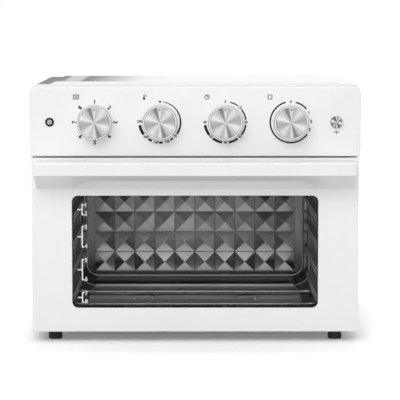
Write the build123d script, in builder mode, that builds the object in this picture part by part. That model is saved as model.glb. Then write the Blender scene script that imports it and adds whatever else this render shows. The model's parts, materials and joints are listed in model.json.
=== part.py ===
from build123d import *

from math import atan2, degrees
import os

# Air fryer oven with a drop-down glass door, in millimetres.
# X runs to the right, Y to the back and Z up; the origin is under the middle of the oven.

# Outside of the case
case_width = 400.0
overall_depth = 394.0
foot_height = 13.0
wrap_top = 312.0
field_rise = 2.0
sheet = 1.0
frame_sheet = 1.2
wrap_corner = 4.0
flange_width = 12.0
spacer_reach = 8.0
handle_reach = 46.0

# Raised field pressed into the top
field_side_margin = 19.0
field_side_slope = 5.0
field_front_margin = 44.0
field_front_slope = 44.0
field_rear_margin = 10.0
field_rear_slope = 7.0

# Cooling slots in the sides, the rear and the base
side_slot_length = 26.0
side_slot_width = 3.2
side_slot_pitch = 9.0
side_slot_count = 10
side_slot_inset = 75.0
side_slot_drop = 45.0
rear_slot_length = 40.0
rear_slot_width = 3.6
rear_slot_step = 52.0
rear_slot_pitch = 8.0
upper_slot_columns = 5
upper_slot_rows = 5
upper_slot_drop = 45.0
lower_slot_columns = 3
lower_slot_rows = 4
lower_slot_x = -40.0
lower_slot_rise = 45.0
base_slot_length = 50.0
base_slot_width = 5.0
base_slot_pitch = 24.0
base_slot_rows_apart = 90.0
base_slot_count = 9

# Door
door_thickness = 22.0
door_side_gap = 1.5
door_panel_gap = 2.0
door_wall = 3.0
door_rim = 2.5
door_edge = 1.5
door_corner = 2.0
window_side_margin = 48.9
window_bottom_margin = 29.6
window_top_margin = 46.0
window_corner = 7.5
glass_thickness = 4.0
glass_overlap = 3.5
glass_setback = 4.0
glass_rib = 2.5
liner_gap = 0.2
seal_gap = 3.0
seal_width = 5.0
seal_margin = 3.0
seal_clearance = 0.3
seal_edge = 1.2

# Hinge of the door
hinge_inset = 5.0
hinge_side_inset = 12.75
ear_thickness = 2.5
ear_radius = 4.6
pin_radius = 2.0
pin_length = 23.0
pin_end_play = 0.5
running_clearance = 0.05
hinge_slot_inner = 5.75
hinge_slot_outer = 2.5
hinge_slot_depth = 6.6
hinge_bar_height = 13.0
bracket_width = 14.0
bracket_height = 15.0
bracket_sheet = 1.5
bracket_rise = 8.0
spring_turns = 4
spring_wire = 0.9
spring_core = 0.5

# Handle
handle_side_margin = 5.5
handle_top_inset = 2.7
handle_front_height = 15.7
handle_rear_height = 34.9
handle_bar_depth = 18.0
handle_backplate = 3.0
finger_gap_front_margin = 63.0
finger_gap_rear_margin = 40.0
handle_edge = 2.0
handle_corner = 3.0
handle_screw_inset = 22.0
handle_screw_depth = 12.0

# Control panel and what stands in it
panel_height = 83.2
panel_proud = 3.0
panel_top_drop = 0.8
panel_top_rise = 2.8
panel_wall = 3.0
panel_corner = 7.5
panel_lower_corner = 1.5
panel_edge = 1.5
boss_radius = 4.0
boss_bore = 1.5
boss_inset = 12.0
boss_spacing = 64.0
control_rise = 41.2
knob_spacing = 78.8
knob_middle_x = -2.8
knob_radius = 21.2
knob_depth = 18.0
knob_wall = 2.4
knob_hub_wall = 2.5
knob_face = 4.0
knob_edge = 1.2
knob_draft = 1.5
knob_clearance = 0.6
cap_radius = 18.8
cap_thickness = 1.6
cap_notch = 3.4
shaft_radius = 3.0
shaft_flat = 1.0
shaft_length = 48.0
shaft_engagement = 14.0
collar_wall = 1.4
collar_length = 8.0
lamp_inset = 24.5
lamp_ring_radius = 5.4
lamp_ring_lip = 0.8
lamp_lens_radius = 3.2
lamp_tail = 3.0
button_inset = 29.3
button_radius = 6.7
button_proud = 4.0
button_travel = 2.5
button_clearance = 0.3
button_flange = 2.0
button_flange_sheet = 1.5
button_stem = 6.0
switch_width = 14.0
switch_height = 22.0
plunger_radius = 2.0

# Switch, thermostat and timers behind the frame
function_switch_side = 42.0
function_switch_depth = 33.0
thermostat_width = 36.0
thermostat_height = 30.0
thermostat_depth = 24.0
oven_timer_width = 52.0
oven_timer_height = 50.0
oven_timer_depth = 30.0
toast_timer_width = 50.0
toast_timer_height = 46.0
toast_timer_depth = 26.0
control_step = 5.0
control_corner = 4.0
control_end_wall = 4.0

# Oven cavity
side_space = 41.0
cavity_floor_rise = 14.8
cavity_ceiling_drop = 8.0
cavity_rear_space = 40.0
cavity_corner = 19.0
ledge_first_rise = 26.2
ledge_spacing = 33.0
ledge_height = 14.0
ledge_depth = 6.0
ledge_front_margin = 16.8
ledge_rear_margin = 17.0
ledge_slope = 35.0
emboss_pitch = 27.3
emboss_gap = 0.6
emboss_rise = 20.0
emboss_depth = 6.0
emboss_flat = 0.5
panel_step_margin = 9.6
panel_step_lift = 15.4
panel_step_rise = 2.0
panel_step_corner = 16.0
panel_step_slope = 30.0
tray_clearance = 0.6
tray_thickness = 1.2
tray_rim = 4.0
tray_corner = 6.0
tray_front_gap = 4.0
tray_rear_gap = 12.0

# Oven lamp in the right wall
oven_lamp_inset = 54.0
oven_lamp_drop = 46.0
lens_radius = 15.0
lens_dome = 3.0
lens_flange = 2.5
lamp_house_side = 42.0
lamp_house_gap = 15.0
lamp_house_wall = 4.0
lamp_house_draft = 8.0

# Heating tubes
tube_radius = 3.25
tube_end_edge = 1.0
tube_pin_radius = 1.8
tube_pin_length = 8.0
lower_tube_rise = 8.2
upper_tube_drop = 13.0
lower_tube_insets = [34.8, 148.3]
upper_tube_front_inset = 49.8
upper_tube_rear_inset = 34.0
bush_radius = 5.5
bush_length = 10.0
bush_proud = 4.5
bush_flange_radius = 8.0
bush_flange_width = 2.5
support_x = 66.0
support_width = 28.0
support_depth = 8.0
support_leg = 3.0
support_sheet = 1.2
support_round = 3.0
support_gap = 0.2

# Fan above the ceiling
fan_offset = 7.9
well_radius = 80.0
well_height = 30.0
well_draft = 6.0
well_hole_gap = 2.0
fan_radius = 58.0
fan_blades = 8
fan_blade_length = 34.0
fan_blade_ring = 40.0
fan_blade_turn = 25.0
fan_sheet = 1.2
fan_gap_below = 6.0
fan_gap_above = 8.0
fan_hub_wall = 4.0
fan_shaft_radius = 3.0
fan_shaft_edge = 0.6
fan_shaft_end = 2.0
fan_guard_radius = 88.0
guard_slot_width = 5.4
guard_outer_slots = 18
guard_outer_length = 46.0
guard_outer_ring = 50.0
guard_inner_slots = 6
guard_inner_length = 10.0
guard_inner_ring = 16.0
motor_radius = 30.0
motor_height = 24.0
motor_collar = 6.0
motor_plate_margin = 14.0
motor_plate_sheet = 2.0
motor_standoff = 8.0
motor_standoff_radius = 3.0
motor_standoff_margin = 9.0
cooling_gap = 2.0
cooling_blades = 6
cooling_blade_length = 32.0
cooling_blade_width = 12.0
cooling_blade_ring = 22.0
cooling_blade_turn = 12.0
cooling_hub = 6.0

# Feet, screws and rear fittings
foot_radius = 8.5
foot_round = 1.5
foot_side_inset = 27.4
foot_front_inset = 7.0
foot_rear_inset = 24.0
screw_radius = 2.0
screw_head_radius = 4.0
screw_head_height = 2.4
screw_head_draft = 12.0
screw_head_gap = 0.6
screw_length = 8.0
rear_screw_spacing = 180.0
spacer_inset = 50.0
spacer_rise = 55.0
spacer_radius = 10.0
spacer_draft = 12.0
gland_rise = 25.0
gland_radius = 9.0
gland_wall = 2.0
gland_nose = 5.0
gland_tail = 8.0
gland_draft = 10.0
cord_radius = 3.5

# Planes, widths and heights that follow from the sizes above
handle_front = -overall_depth / 2
door_front = handle_front + handle_reach
door_back = door_front + door_thickness
door_bottom = foot_height
frame_front = door_back + seal_gap
frame_back = frame_front + frame_sheet
rear_face = overall_depth / 2 - spacer_reach
rear_inner = rear_face - sheet
panel_front = door_front - panel_proud
panel_inner = panel_front + panel_wall
case_half = case_width / 2
inner_half = case_half - sheet
flange_half = inner_half - flange_width
base_bottom = foot_height + sheet
base_top = base_bottom + sheet
wrap_ceiling = wrap_top - sheet
rear_middle_z = (wrap_ceiling + base_top) / 2
panel_top_front = wrap_top - panel_top_drop
panel_top_rear = panel_top_front + panel_top_rise
panel_bottom = panel_top_front - panel_height
control_z = panel_bottom + control_rise
door_top = panel_bottom - door_panel_gap
door_width = case_width - 2 * door_side_gap
handle_top = door_top - handle_top_inset
handle_front_bottom = handle_top - handle_front_height
handle_rear_bottom = handle_top - handle_rear_height
handle_width = door_width - 2 * handle_side_margin
window_width = door_width - 2 * window_side_margin
window_bottom = door_bottom + window_bottom_margin
window_top = door_top - window_top_margin
hinge_x = door_width / 2 - hinge_side_inset
hinge_y = door_back - hinge_inset
hinge_z = door_bottom + hinge_inset
cavity_half = inner_half - sheet - side_space
cavity_width = 2 * cavity_half
cavity_floor_z = door_bottom + cavity_floor_rise
cavity_ceiling_z = door_top - cavity_ceiling_drop
cavity_rear = rear_face - cavity_rear_space
cavity_middle_y = (frame_back + cavity_rear) / 2
lamp_bottom = cavity_ceiling_z - oven_lamp_drop - lens_radius - lens_flange
first_ledge_top = cavity_floor_z + ledge_first_rise
ledge_count = 1 + int((lamp_bottom - first_ledge_top) / ledge_spacing)
ledge_tops = [first_ledge_top + ledge_spacing * i for i in range(ledge_count)]
lower_tube_z = cavity_floor_z + lower_tube_rise
upper_tube_z = cavity_ceiling_z - upper_tube_drop
fan_y = cavity_middle_y + fan_offset
foot_x = case_half - foot_side_inset
foot_ys = [frame_front + foot_front_inset, rear_face - foot_rear_inset]
spacer_x = case_half - spacer_inset
spacer_z = base_top + spacer_rise
gland_z = base_top + gland_rise
rear_screw_x = inner_half - flange_width / 2
knob_xs = [knob_middle_x + knob_spacing * (i - 1.5) for i in range(4)]
button_x = case_half - button_inset
lamp_x = lamp_inset - case_half


def front_plane(y):
    """Plane parallel to the door at depth y, facing the user, with X to the right and Z up."""
    return Plane.XZ.offset(-y)


def side_plane(x):
    """Plane parallel to the side walls at width x, facing right, with Y along it and Z up."""
    return Plane.YZ.offset(x)


def save(piece, name):
    """Label a finished piece and write it to the parts folder."""
    piece.label = name
    export_step(piece, f"parts/{name}.step")


os.makedirs("parts", exist_ok=True)


# Outer wrap: one sheet bent over the top and both sides, with a field pressed up in the top
def top_field(lift):
    """Four-sided raised field, drawn a given distance below the outside of the sheet."""
    field_front = frame_front + field_front_margin
    field_rear = rear_face - field_rear_margin
    front_top = field_front + field_front_slope
    rear_top = field_rear - field_rear_slope
    half_foot = case_half - field_side_margin
    half_top = half_foot - field_side_slope
    with BuildPart() as field:
        with BuildSketch(Plane.XY.offset(wrap_top - lift)):
            with Locations((0, (field_rear + field_front) / 2)):
                Rectangle(2 * (half_foot - lift), field_rear - field_front - 2 * lift)
        with BuildSketch(Plane.XY.offset(wrap_top + field_rise - lift)):
            with Locations((0, (rear_top + front_top) / 2)):
                Rectangle(2 * (half_top - lift), rear_top - front_top - 2 * lift)
        loft()
    return field.part


with BuildPart() as outer_wrap:
    with BuildSketch(front_plane(rear_face)) as wrap_outline:
        with Locations((0, foot_height)):
            Rectangle(case_width, wrap_top - foot_height, align=(Align.CENTER, Align.MIN))
        fillet(wrap_outline.vertices().group_by(Axis.Y)[-1], wrap_corner)
    extrude(amount=rear_face - frame_front)
    add(top_field(0))
    with BuildSketch(front_plane(rear_face)) as wrap_hollow:
        with Locations((0, base_bottom)):
            Rectangle(2 * inner_half, wrap_ceiling - base_bottom, align=(Align.CENTER, Align.MIN))
        fillet(wrap_hollow.vertices().group_by(Axis.Y)[-1], wrap_corner - sheet)
    extrude(amount=rear_face - frame_front, mode=Mode.SUBTRACT)
    add(top_field(sheet), mode=Mode.SUBTRACT)
    with BuildSketch(Plane.XY.offset(foot_height)):
        with Locations((0, (frame_front + rear_face) / 2)):
            Rectangle(2 * flange_half, rear_face - frame_front)
    extrude(amount=sheet, mode=Mode.SUBTRACT)
    with BuildSketch(front_plane(rear_inner)) as rear_flange:
        with Locations((0, base_bottom)):
            Rectangle(2 * inner_half, wrap_ceiling - base_bottom, align=(Align.CENTER, Align.MIN))
        with Locations((0, base_top)):
            Rectangle(
                2 * flange_half,
                wrap_ceiling - flange_width - base_top,
                align=(Align.CENTER, Align.MIN),
                mode=Mode.SUBTRACT,
            )
        with Locations((0, base_bottom)):
            Rectangle(2 * inner_half, sheet, align=(Align.CENTER, Align.MIN), mode=Mode.SUBTRACT)
    extrude(amount=sheet)
    with BuildSketch(side_plane(0)):
        with Locations((rear_face - side_slot_inset, wrap_ceiling - side_slot_drop)):
            with GridLocations(side_slot_pitch, 0, side_slot_count, 1):
                SlotOverall(side_slot_length, side_slot_width, rotation=90)
    extrude(amount=case_half, both=True, mode=Mode.SUBTRACT)
    with BuildSketch(front_plane(rear_inner)):
        with Locations((0, rear_middle_z)):
            with GridLocations(2 * rear_screw_x, rear_screw_spacing, 2, 2):
                Circle(screw_radius)
    extrude(amount=sheet, mode=Mode.SUBTRACT)
save(outer_wrap.part, "outer_wrap")

# Base plate, resting on the wrap's lower flanges, with cooling slots
with BuildPart() as base_plate:
    with BuildSketch(Plane.XY.offset(base_bottom)):
        with Locations((0, (frame_back + rear_inner) / 2)):
            Rectangle(2 * inner_half, rear_inner - frame_back)
            with GridLocations(base_slot_pitch, base_slot_rows_apart, base_slot_count, 2):
                SlotOverall(base_slot_length, base_slot_width, rotation=90, mode=Mode.SUBTRACT)
        for foot_y in foot_ys:
            with Locations((-foot_x, foot_y), (foot_x, foot_y)):
                Circle(screw_radius, mode=Mode.SUBTRACT)
    extrude(amount=sheet)
save(base_plate.part, "base_plate")

# Rear panel with two fields of cooling slots and the hole for the cord gland
with BuildPart() as rear_panel:
    with BuildSketch(front_plane(rear_face)) as rear_outline:
        with Locations((0, base_bottom)):
            Rectangle(2 * inner_half, wrap_ceiling - base_bottom, align=(Align.CENTER, Align.MIN))
        fillet(rear_outline.vertices().group_by(Axis.Y)[-1], wrap_corner - sheet)
        with Locations((0, rear_middle_z)):
            with GridLocations(2 * rear_screw_x, rear_screw_spacing, 2, 2):
                Circle(screw_radius, mode=Mode.SUBTRACT)
        with Locations((0, wrap_ceiling - upper_slot_drop)):
            with GridLocations(rear_slot_step, rear_slot_pitch, upper_slot_columns, upper_slot_rows):
                SlotOverall(rear_slot_length, rear_slot_width, mode=Mode.SUBTRACT)
        with Locations((lower_slot_x, base_top + lower_slot_rise)):
            with GridLocations(rear_slot_step, rear_slot_pitch, lower_slot_columns, lower_slot_rows):
                SlotOverall(rear_slot_length, rear_slot_width, mode=Mode.SUBTRACT)
        with Locations((spacer_x, gland_z)):
            Circle(gland_radius - gland_wall, mode=Mode.SUBTRACT)
    extrude(amount=sheet)
save(rear_panel.part, "rear_panel")

# Rear spacers keep the oven off the wall
with BuildPart() as rear_spacers:
    with BuildSketch(front_plane(rear_face)):
        with Locations((-spacer_x, spacer_z), (spacer_x, spacer_z)):
            Circle(spacer_radius)
    extrude(amount=-spacer_reach, taper=spacer_draft)
save(rear_spacers.part, "rear_spacers")

# Cord gland in the rear panel, below the right spacer
with BuildPart() as cord_gland:
    with BuildSketch(front_plane(rear_face)):
        with Locations((spacer_x, gland_z)):
            Circle(gland_radius)
    extrude(amount=-gland_nose, taper=gland_draft)
    with BuildSketch(front_plane(rear_face)):
        with Locations((spacer_x, gland_z)):
            Circle(gland_radius - gland_wall)
    extrude(amount=gland_tail)
    with BuildSketch(front_plane(rear_face + gland_nose)):
        with Locations((spacer_x, gland_z)):
            Circle(cord_radius)
    extrude(amount=gland_nose + gland_tail, mode=Mode.SUBTRACT)
save(cord_gland.part, "cord_gland")


# Feet: turned rubber studs with a recess for the screw head
def foot(x, y):
    """One foot standing on the counter at x, y, open below for its screw."""
    with BuildPart() as stud:
        with BuildSketch(Plane.XY):
            with Locations((x, y)):
                Circle(foot_radius)
        extrude(amount=base_bottom)
        fillet(stud.edges().group_by(Axis.Z)[0], foot_round)
        with BuildSketch(Plane.XY):
            with Locations((x, y)):
                Circle(screw_head_radius + screw_head_gap)
        extrude(amount=base_bottom / 2, mode=Mode.SUBTRACT)
        with BuildSketch(Plane.XY):
            with Locations((x, y)):
                Circle(screw_radius)
        extrude(amount=base_bottom, mode=Mode.SUBTRACT)
    return stud.part


for foot_y, place in zip(foot_ys, ("front", "rear")):
    for side, hand in ((-1, "left"), (1, "right")):
        save(foot(side * foot_x, foot_y), f"foot_{place}_{hand}")


# Screws: pan heads on the rear panel and in the feet
def pan_screw(seat):
    """Screw whose head stands on the seat plane and whose shank runs behind it."""
    with BuildPart() as screw:
        with BuildSketch(seat):
            Circle(screw_head_radius)
        extrude(amount=screw_head_height, taper=screw_head_draft)
        with BuildSketch(seat):
            Circle(screw_radius)
        extrude(amount=-screw_length)
    return screw.part


with BuildPart() as case_screws:
    for side in (-1, 1):
        for level in (-rear_screw_spacing / 2, rear_screw_spacing / 2):
            rear_seat = Vector(side * rear_screw_x, rear_face, rear_middle_z + level)
            add(pan_screw(Plane(rear_seat, x_dir=(1, 0, 0), z_dir=(0, 1, 0))))
        for foot_y in foot_ys:
            foot_seat = Vector(side * foot_x, foot_y, base_bottom / 2)
            add(pan_screw(Plane(foot_seat, x_dir=(1, 0, 0), z_dir=(0, 0, -1))))
save(case_screws.part, "case_screws")


def cavity_outline(half_width, bottom, top, corner):
    """Outline across the cavity: square above, rounded below."""
    with BuildSketch() as outline:
        with BuildLine():
            Line((-half_width, bottom + corner), (-half_width, top))
            Line((-half_width, top), (half_width, top))
            Line((half_width, top), (half_width, bottom + corner))
            CenterArc((half_width - corner, bottom + corner), corner, -90, 90)
            Line((half_width - corner, bottom), (-half_width + corner, bottom))
            CenterArc((-half_width + corner, bottom + corner), corner, 180, 90)
        make_face()
    return outline.sketch


# Front frame: the sheet behind the door and the control panel, open at the cavity
with BuildPart() as front_frame:
    with BuildSketch(front_plane(frame_back)) as frame_outline:
        with Locations((0, base_bottom)):
            Rectangle(2 * inner_half, wrap_ceiling - base_bottom, align=(Align.CENTER, Align.MIN))
        fillet(frame_outline.vertices().group_by(Axis.Y)[-1], wrap_corner - sheet)
    extrude(amount=frame_sheet)
    with BuildSketch(front_plane(frame_back)):
        add(cavity_outline(cavity_half, cavity_floor_z, cavity_ceiling_z, cavity_corner))
    extrude(amount=frame_sheet, mode=Mode.SUBTRACT)
    with BuildSketch(front_plane(frame_back)):
        with Locations(*[(x, control_z) for x in knob_xs]):
            Circle(shaft_radius + collar_wall)
    extrude(amount=frame_sheet, mode=Mode.SUBTRACT)
save(front_frame.part, "front_frame")

# Left wall of the cavity: bent sheet with four pressed ledges for the rack, mirrored for the right
lower_corner = (-cavity_half + cavity_corner, cavity_floor_z + cavity_corner)
ledge_front = frame_back + ledge_front_margin
ledge_rear = cavity_rear - ledge_rear_margin
ledge_length = ledge_rear - ledge_front
tube_places = {
    "heater_bottom_front": (frame_back + lower_tube_insets[0], lower_tube_z),
    "heater_bottom_rear": (frame_back + lower_tube_insets[1], lower_tube_z),
    "heater_top_front": (frame_back + upper_tube_front_inset, upper_tube_z),
    "heater_top_rear": (cavity_rear - upper_tube_rear_inset, upper_tube_z),
}
with BuildPart() as cavity_left:
    with BuildSketch(front_plane(cavity_rear)):
        with BuildLine():
            Line((-cavity_half, cavity_ceiling_z), (-cavity_half, lower_corner[1]))
            CenterArc(lower_corner, cavity_corner, 180, 90)
            Line((lower_corner[0], cavity_floor_z), (lower_corner[0], cavity_floor_z - sheet))
            CenterArc(lower_corner, cavity_corner + sheet, 180, 90)
            Line((-cavity_half - sheet, lower_corner[1]), (-cavity_half - sheet, cavity_ceiling_z))
            Line((-cavity_half - sheet, cavity_ceiling_z), (-cavity_half, cavity_ceiling_z))
        make_face()
    extrude(amount=cavity_rear - frame_back)
    with BuildSketch(side_plane(-cavity_half)):
        for top in ledge_tops:
            with Locations(((ledge_front + ledge_rear) / 2, top - ledge_height / 2)):
                Rectangle(ledge_length, ledge_height)
    extrude(amount=ledge_depth, taper=ledge_slope)
    with BuildSketch(side_plane(-cavity_half - sheet)):
        for top in ledge_tops:
            with Locations(((ledge_front + ledge_rear) / 2, top - ledge_height / 2)):
                Rectangle(ledge_length - sheet, ledge_height - sheet)
    extrude(amount=ledge_depth, taper=ledge_slope, mode=Mode.SUBTRACT)
    with BuildSketch(side_plane(-cavity_half)):
        with Locations(*tube_places.values()):
            Circle(bush_radius)
    extrude(amount=cavity_corner / 2, both=True, mode=Mode.SUBTRACT)
save(cavity_left.part, "cavity_left")

# Right wall of the cavity, with the round hole of the oven lamp
lamp_spot = (cavity_rear - oven_lamp_inset, cavity_ceiling_z - oven_lamp_drop)
with BuildPart() as cavity_right:
    mirror(cavity_left.part, about=Plane.YZ)
    with BuildSketch(side_plane(cavity_half)):
        with Locations(lamp_spot):
            Circle(lens_radius)
    extrude(amount=sheet, mode=Mode.SUBTRACT)
save(cavity_right.part, "cavity_right")

# Oven lamp: a housing outside the wall and a glass lens in its hole
lamp_house_depth = side_space - lamp_house_gap
with BuildPart() as lamp_housing:
    with BuildSketch(side_plane(cavity_half + sheet)):
        with Locations(lamp_spot):
            Rectangle(lamp_house_side, lamp_house_side)
    extrude(amount=lamp_house_depth, taper=lamp_house_draft)
    with BuildSketch(side_plane(cavity_half + sheet)):
        with Locations(lamp_spot):
            Circle(lens_radius)
    extrude(amount=lamp_house_depth - lamp_house_wall, mode=Mode.SUBTRACT)
save(lamp_housing.part, "lamp_housing")

with BuildPart() as lamp_lens:
    with BuildSketch(side_plane(cavity_half + sheet)):
        with Locations(lamp_spot):
            Circle(lens_radius)
    extrude(amount=-2 * sheet)
    with BuildSketch(side_plane(cavity_half)):
        with Locations(lamp_spot):
            Circle(lens_radius + lens_flange)
    extrude(amount=-lens_dome, taper=30)
save(lamp_lens.part, "lamp_lens")

# Floor of the cavity between the rounded corners
with BuildPart() as cavity_floor:
    with BuildSketch(Plane.XY.offset(cavity_floor_z - sheet)):
        with Locations((0, cavity_middle_y)):
            Rectangle(cavity_width - 2 * cavity_corner, cavity_rear - frame_back)
    extrude(amount=sheet)
save(cavity_floor.part, "cavity_floor")

# Crumb tray lying on the floor, with a raised rim
tray_width = cavity_width - 2 * cavity_corner - 2 * tray_clearance
tray_front = frame_back + tray_front_gap
tray_rear = cavity_rear - tray_rear_gap
with BuildPart() as crumb_tray:
    with BuildSketch(Plane.XY.offset(cavity_floor_z)):
        with Locations((0, (tray_front + tray_rear) / 2)):
            Rectangle(tray_width, tray_rear - tray_front)
    extrude(amount=tray_rim)
    fillet(crumb_tray.edges().filter_by(Axis.Z), tray_corner)
    with BuildSketch(Plane.XY.offset(cavity_floor_z + tray_thickness)) as tray_hollow:
        with Locations((0, (tray_front + tray_rear) / 2)):
            Rectangle(tray_width - 2 * tray_thickness, tray_rear - tray_front - 2 * tray_thickness)
        fillet(tray_hollow.vertices(), tray_corner - tray_thickness)
    extrude(amount=tray_rim, mode=Mode.SUBTRACT)
save(crumb_tray.part, "crumb_tray")

# Rear wall of the cavity: a stepped panel pressed with rows of pyramids, hollow from behind
step_half = cavity_half - panel_step_margin - sheet
step_bottom = cavity_floor_z + panel_step_lift
emboss_bottom = cavity_floor_z + emboss_rise
emboss_columns = int(2 * step_half / emboss_pitch)
emboss_rows = int((cavity_ceiling_z - emboss_bottom) / emboss_pitch)
emboss_height = emboss_pitch * emboss_rows
emboss_centre_z = emboss_bottom + emboss_height / 2
step_top = emboss_bottom + emboss_height + panel_step_rise
step_front = cavity_rear - panel_step_rise
outer_corner = cavity_corner + sheet
pyramid_run = (emboss_pitch - emboss_gap - emboss_flat) / 2
pyramid_slope = degrees(atan2(pyramid_run, emboss_depth))
with BuildPart() as cavity_back:
    with BuildSketch(front_plane(cavity_rear + sheet)):
        add(cavity_outline(cavity_half + sheet, cavity_floor_z - sheet, cavity_ceiling_z, outer_corner))
    extrude(amount=sheet)
    with BuildSketch(front_plane(cavity_rear)):
        add(cavity_outline(step_half + sheet, step_bottom - sheet, step_top, panel_step_corner))
    extrude(amount=panel_step_rise, taper=panel_step_slope)
    with BuildSketch(front_plane(cavity_rear + sheet)):
        add(cavity_outline(step_half, step_bottom, step_top - sheet, panel_step_corner))
    extrude(amount=panel_step_rise, taper=panel_step_slope, mode=Mode.SUBTRACT)
    for seat, shrink, mode in ((step_front, 0, Mode.ADD), (step_front + sheet, sheet, Mode.SUBTRACT)):
        pyramid_side = emboss_pitch - emboss_gap - shrink
        with BuildSketch(front_plane(seat)):
            with Locations((0, emboss_centre_z)):
                with GridLocations(emboss_pitch, emboss_pitch, emboss_columns, emboss_rows):
                    Rectangle(pyramid_side, pyramid_side)
        extrude(amount=emboss_depth - shrink, taper=pyramid_slope, mode=mode)
save(cavity_back.part, "cavity_back")

# Ceiling of the cavity, with a round well pressed up for the fan
well_top = cavity_ceiling_z + well_height
well_rim = fan_y + well_radius
well_hole = fan_y + fan_shaft_radius + well_hole_gap
with BuildPart() as cavity_ceiling:
    with BuildSketch(Plane.XY.offset(cavity_ceiling_z)):
        with Locations((0, cavity_middle_y + sheet / 2)):
            Rectangle(cavity_width + 2 * sheet, cavity_rear + sheet - frame_back)
        with Locations((0, fan_y)):
            Circle(well_radius, mode=Mode.SUBTRACT)
    extrude(amount=sheet)
    with BuildSketch(side_plane(0)):
        with BuildLine():
            Polyline(
                (well_rim, cavity_ceiling_z),
                (well_rim - well_draft, well_top - sheet),
                (well_hole, well_top - sheet),
                (well_hole, well_top),
                (well_rim - well_draft + sheet, well_top),
                (well_rim + sheet, cavity_ceiling_z),
                close=True,
            )
        make_face()
    revolve(axis=Axis((0, fan_y, 0), (0, 0, 1)))
save(cavity_ceiling.part, "cavity_ceiling")

# Guard under the fan, slotted like a wheel
with BuildPart() as fan_guard:
    with BuildSketch(Plane.XY.offset(cavity_ceiling_z)):
        with Locations((0, fan_y)):
            Circle(fan_guard_radius)
            with PolarLocations(guard_outer_ring, guard_outer_slots):
                SlotOverall(guard_outer_length, guard_slot_width, mode=Mode.SUBTRACT)
            with PolarLocations(guard_inner_ring, guard_inner_slots):
                SlotOverall(guard_inner_length, guard_slot_width, mode=Mode.SUBTRACT)
    extrude(amount=-sheet)
save(fan_guard.part, "fan_guard")

# Convection fan: a back plate with upright blades on a hub
fan_bottom = cavity_ceiling_z + fan_gap_below
fan_plate_z = well_top - fan_gap_above
with BuildPart() as fan_blade:
    with BuildSketch(Plane.XY.offset(fan_plate_z)):
        with Locations((0, fan_y)):
            Circle(fan_radius)
    extrude(amount=fan_sheet)
    with BuildSketch(Plane.XY.offset(fan_bottom)):
        with Locations((0, fan_y)):
            Circle(fan_shaft_radius + fan_hub_wall)
            with PolarLocations(fan_blade_ring, fan_blades):
                Rectangle(fan_blade_length, fan_sheet, rotation=fan_blade_turn)
    extrude(amount=fan_plate_z - fan_bottom)
    with BuildSketch(Plane.XY.offset(fan_bottom)):
        with Locations((0, fan_y)):
            Circle(fan_shaft_radius)
    extrude(amount=well_height, mode=Mode.SUBTRACT)
save(fan_blade.part, "fan_blade")

# Motor on four stand-offs over the well, with a bore for the shaft
motor_plate_z = well_top + motor_standoff
motor_body_z = motor_plate_z + motor_plate_sheet
motor_top = motor_body_z + motor_height + motor_collar
with BuildPart() as fan_motor:
    with BuildSketch(Plane.XY.offset(well_top)):
        with Locations((0, fan_y)):
            with PolarLocations(motor_radius + motor_standoff_margin, 4, start_angle=45):
                Circle(motor_standoff_radius)
    extrude(amount=motor_standoff)
    with BuildSketch(Plane.XY.offset(motor_plate_z)):
        with Locations((0, fan_y)):
            Circle(motor_radius + motor_plate_margin)
    extrude(amount=motor_plate_sheet)
    with BuildSketch(Plane.XY.offset(motor_body_z)):
        with Locations((0, fan_y)):
            Circle(motor_radius)
    extrude(amount=motor_height)
    with BuildSketch(Plane.XY.offset(motor_body_z)):
        with Locations((0, fan_y)):
            Circle(motor_radius / 3)
    extrude(amount=motor_height + motor_collar)
    with BuildSketch(Plane.XY.offset(well_top)):
        with Locations((0, fan_y)):
            Circle(fan_shaft_radius + running_clearance)
    extrude(amount=motor_top - well_top, mode=Mode.SUBTRACT)
save(fan_motor.part, "fan_motor")

# Shaft from the fan up through the motor, and the cooling blade on its top end
cooling_z = motor_top + cooling_gap
with BuildPart() as fan_shaft:
    with BuildSketch(Plane.XY.offset(fan_bottom - fan_shaft_end)):
        with Locations((0, fan_y)):
            Circle(fan_shaft_radius)
    extrude(amount=cooling_z + cooling_hub + 2 * fan_shaft_end - fan_bottom)
    chamfer(fan_shaft.edges().group_by(Axis.Z)[0], fan_shaft_edge)
    chamfer(fan_shaft.edges().group_by(Axis.Z)[-1], fan_shaft_edge)
save(fan_shaft.part, "fan_shaft")

with BuildPart() as cooling_blade:
    with BuildSketch(Plane.XY.offset(cooling_z)):
        with Locations((0, fan_y)):
            Circle(fan_shaft_radius + fan_hub_wall)
            with PolarLocations(cooling_blade_ring, cooling_blades):
                Rectangle(cooling_blade_length, cooling_blade_width, rotation=cooling_blade_turn)
    extrude(amount=fan_sheet)
    with BuildSketch(Plane.XY.offset(cooling_z)):
        with Locations((0, fan_y)):
            Circle(fan_shaft_radius + fan_hub_wall)
    extrude(amount=cooling_hub)
    with BuildSketch(Plane.XY.offset(cooling_z)):
        with Locations((0, fan_y)):
            Circle(fan_shaft_radius)
    extrude(amount=cooling_hub, mode=Mode.SUBTRACT)
save(cooling_blade.part, "cooling_blade")


# Heating tubes across the cavity, each with a slim terminal pin at both ends
def heating_tube(y, z):
    """Straight tube across the cavity at depth y and height z."""
    tube_half = cavity_half + side_space / 2
    with BuildPart() as tube:
        with BuildSketch(side_plane(0)):
            with Locations((y, z)):
                Circle(tube_radius)
        extrude(amount=tube_half, both=True)
        chamfer(tube.faces().sort_by(Axis.X)[0].edges(), tube_end_edge)
        chamfer(tube.faces().sort_by(Axis.X)[-1].edges(), tube_end_edge)
        with BuildSketch(side_plane(0)):
            with Locations((y, z)):
                Circle(tube_pin_radius)
        extrude(amount=tube_half + tube_pin_length, both=True)
    return tube.part


for name, (tube_y, tube_z) in tube_places.items():
    save(heating_tube(tube_y, tube_z), name)

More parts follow.
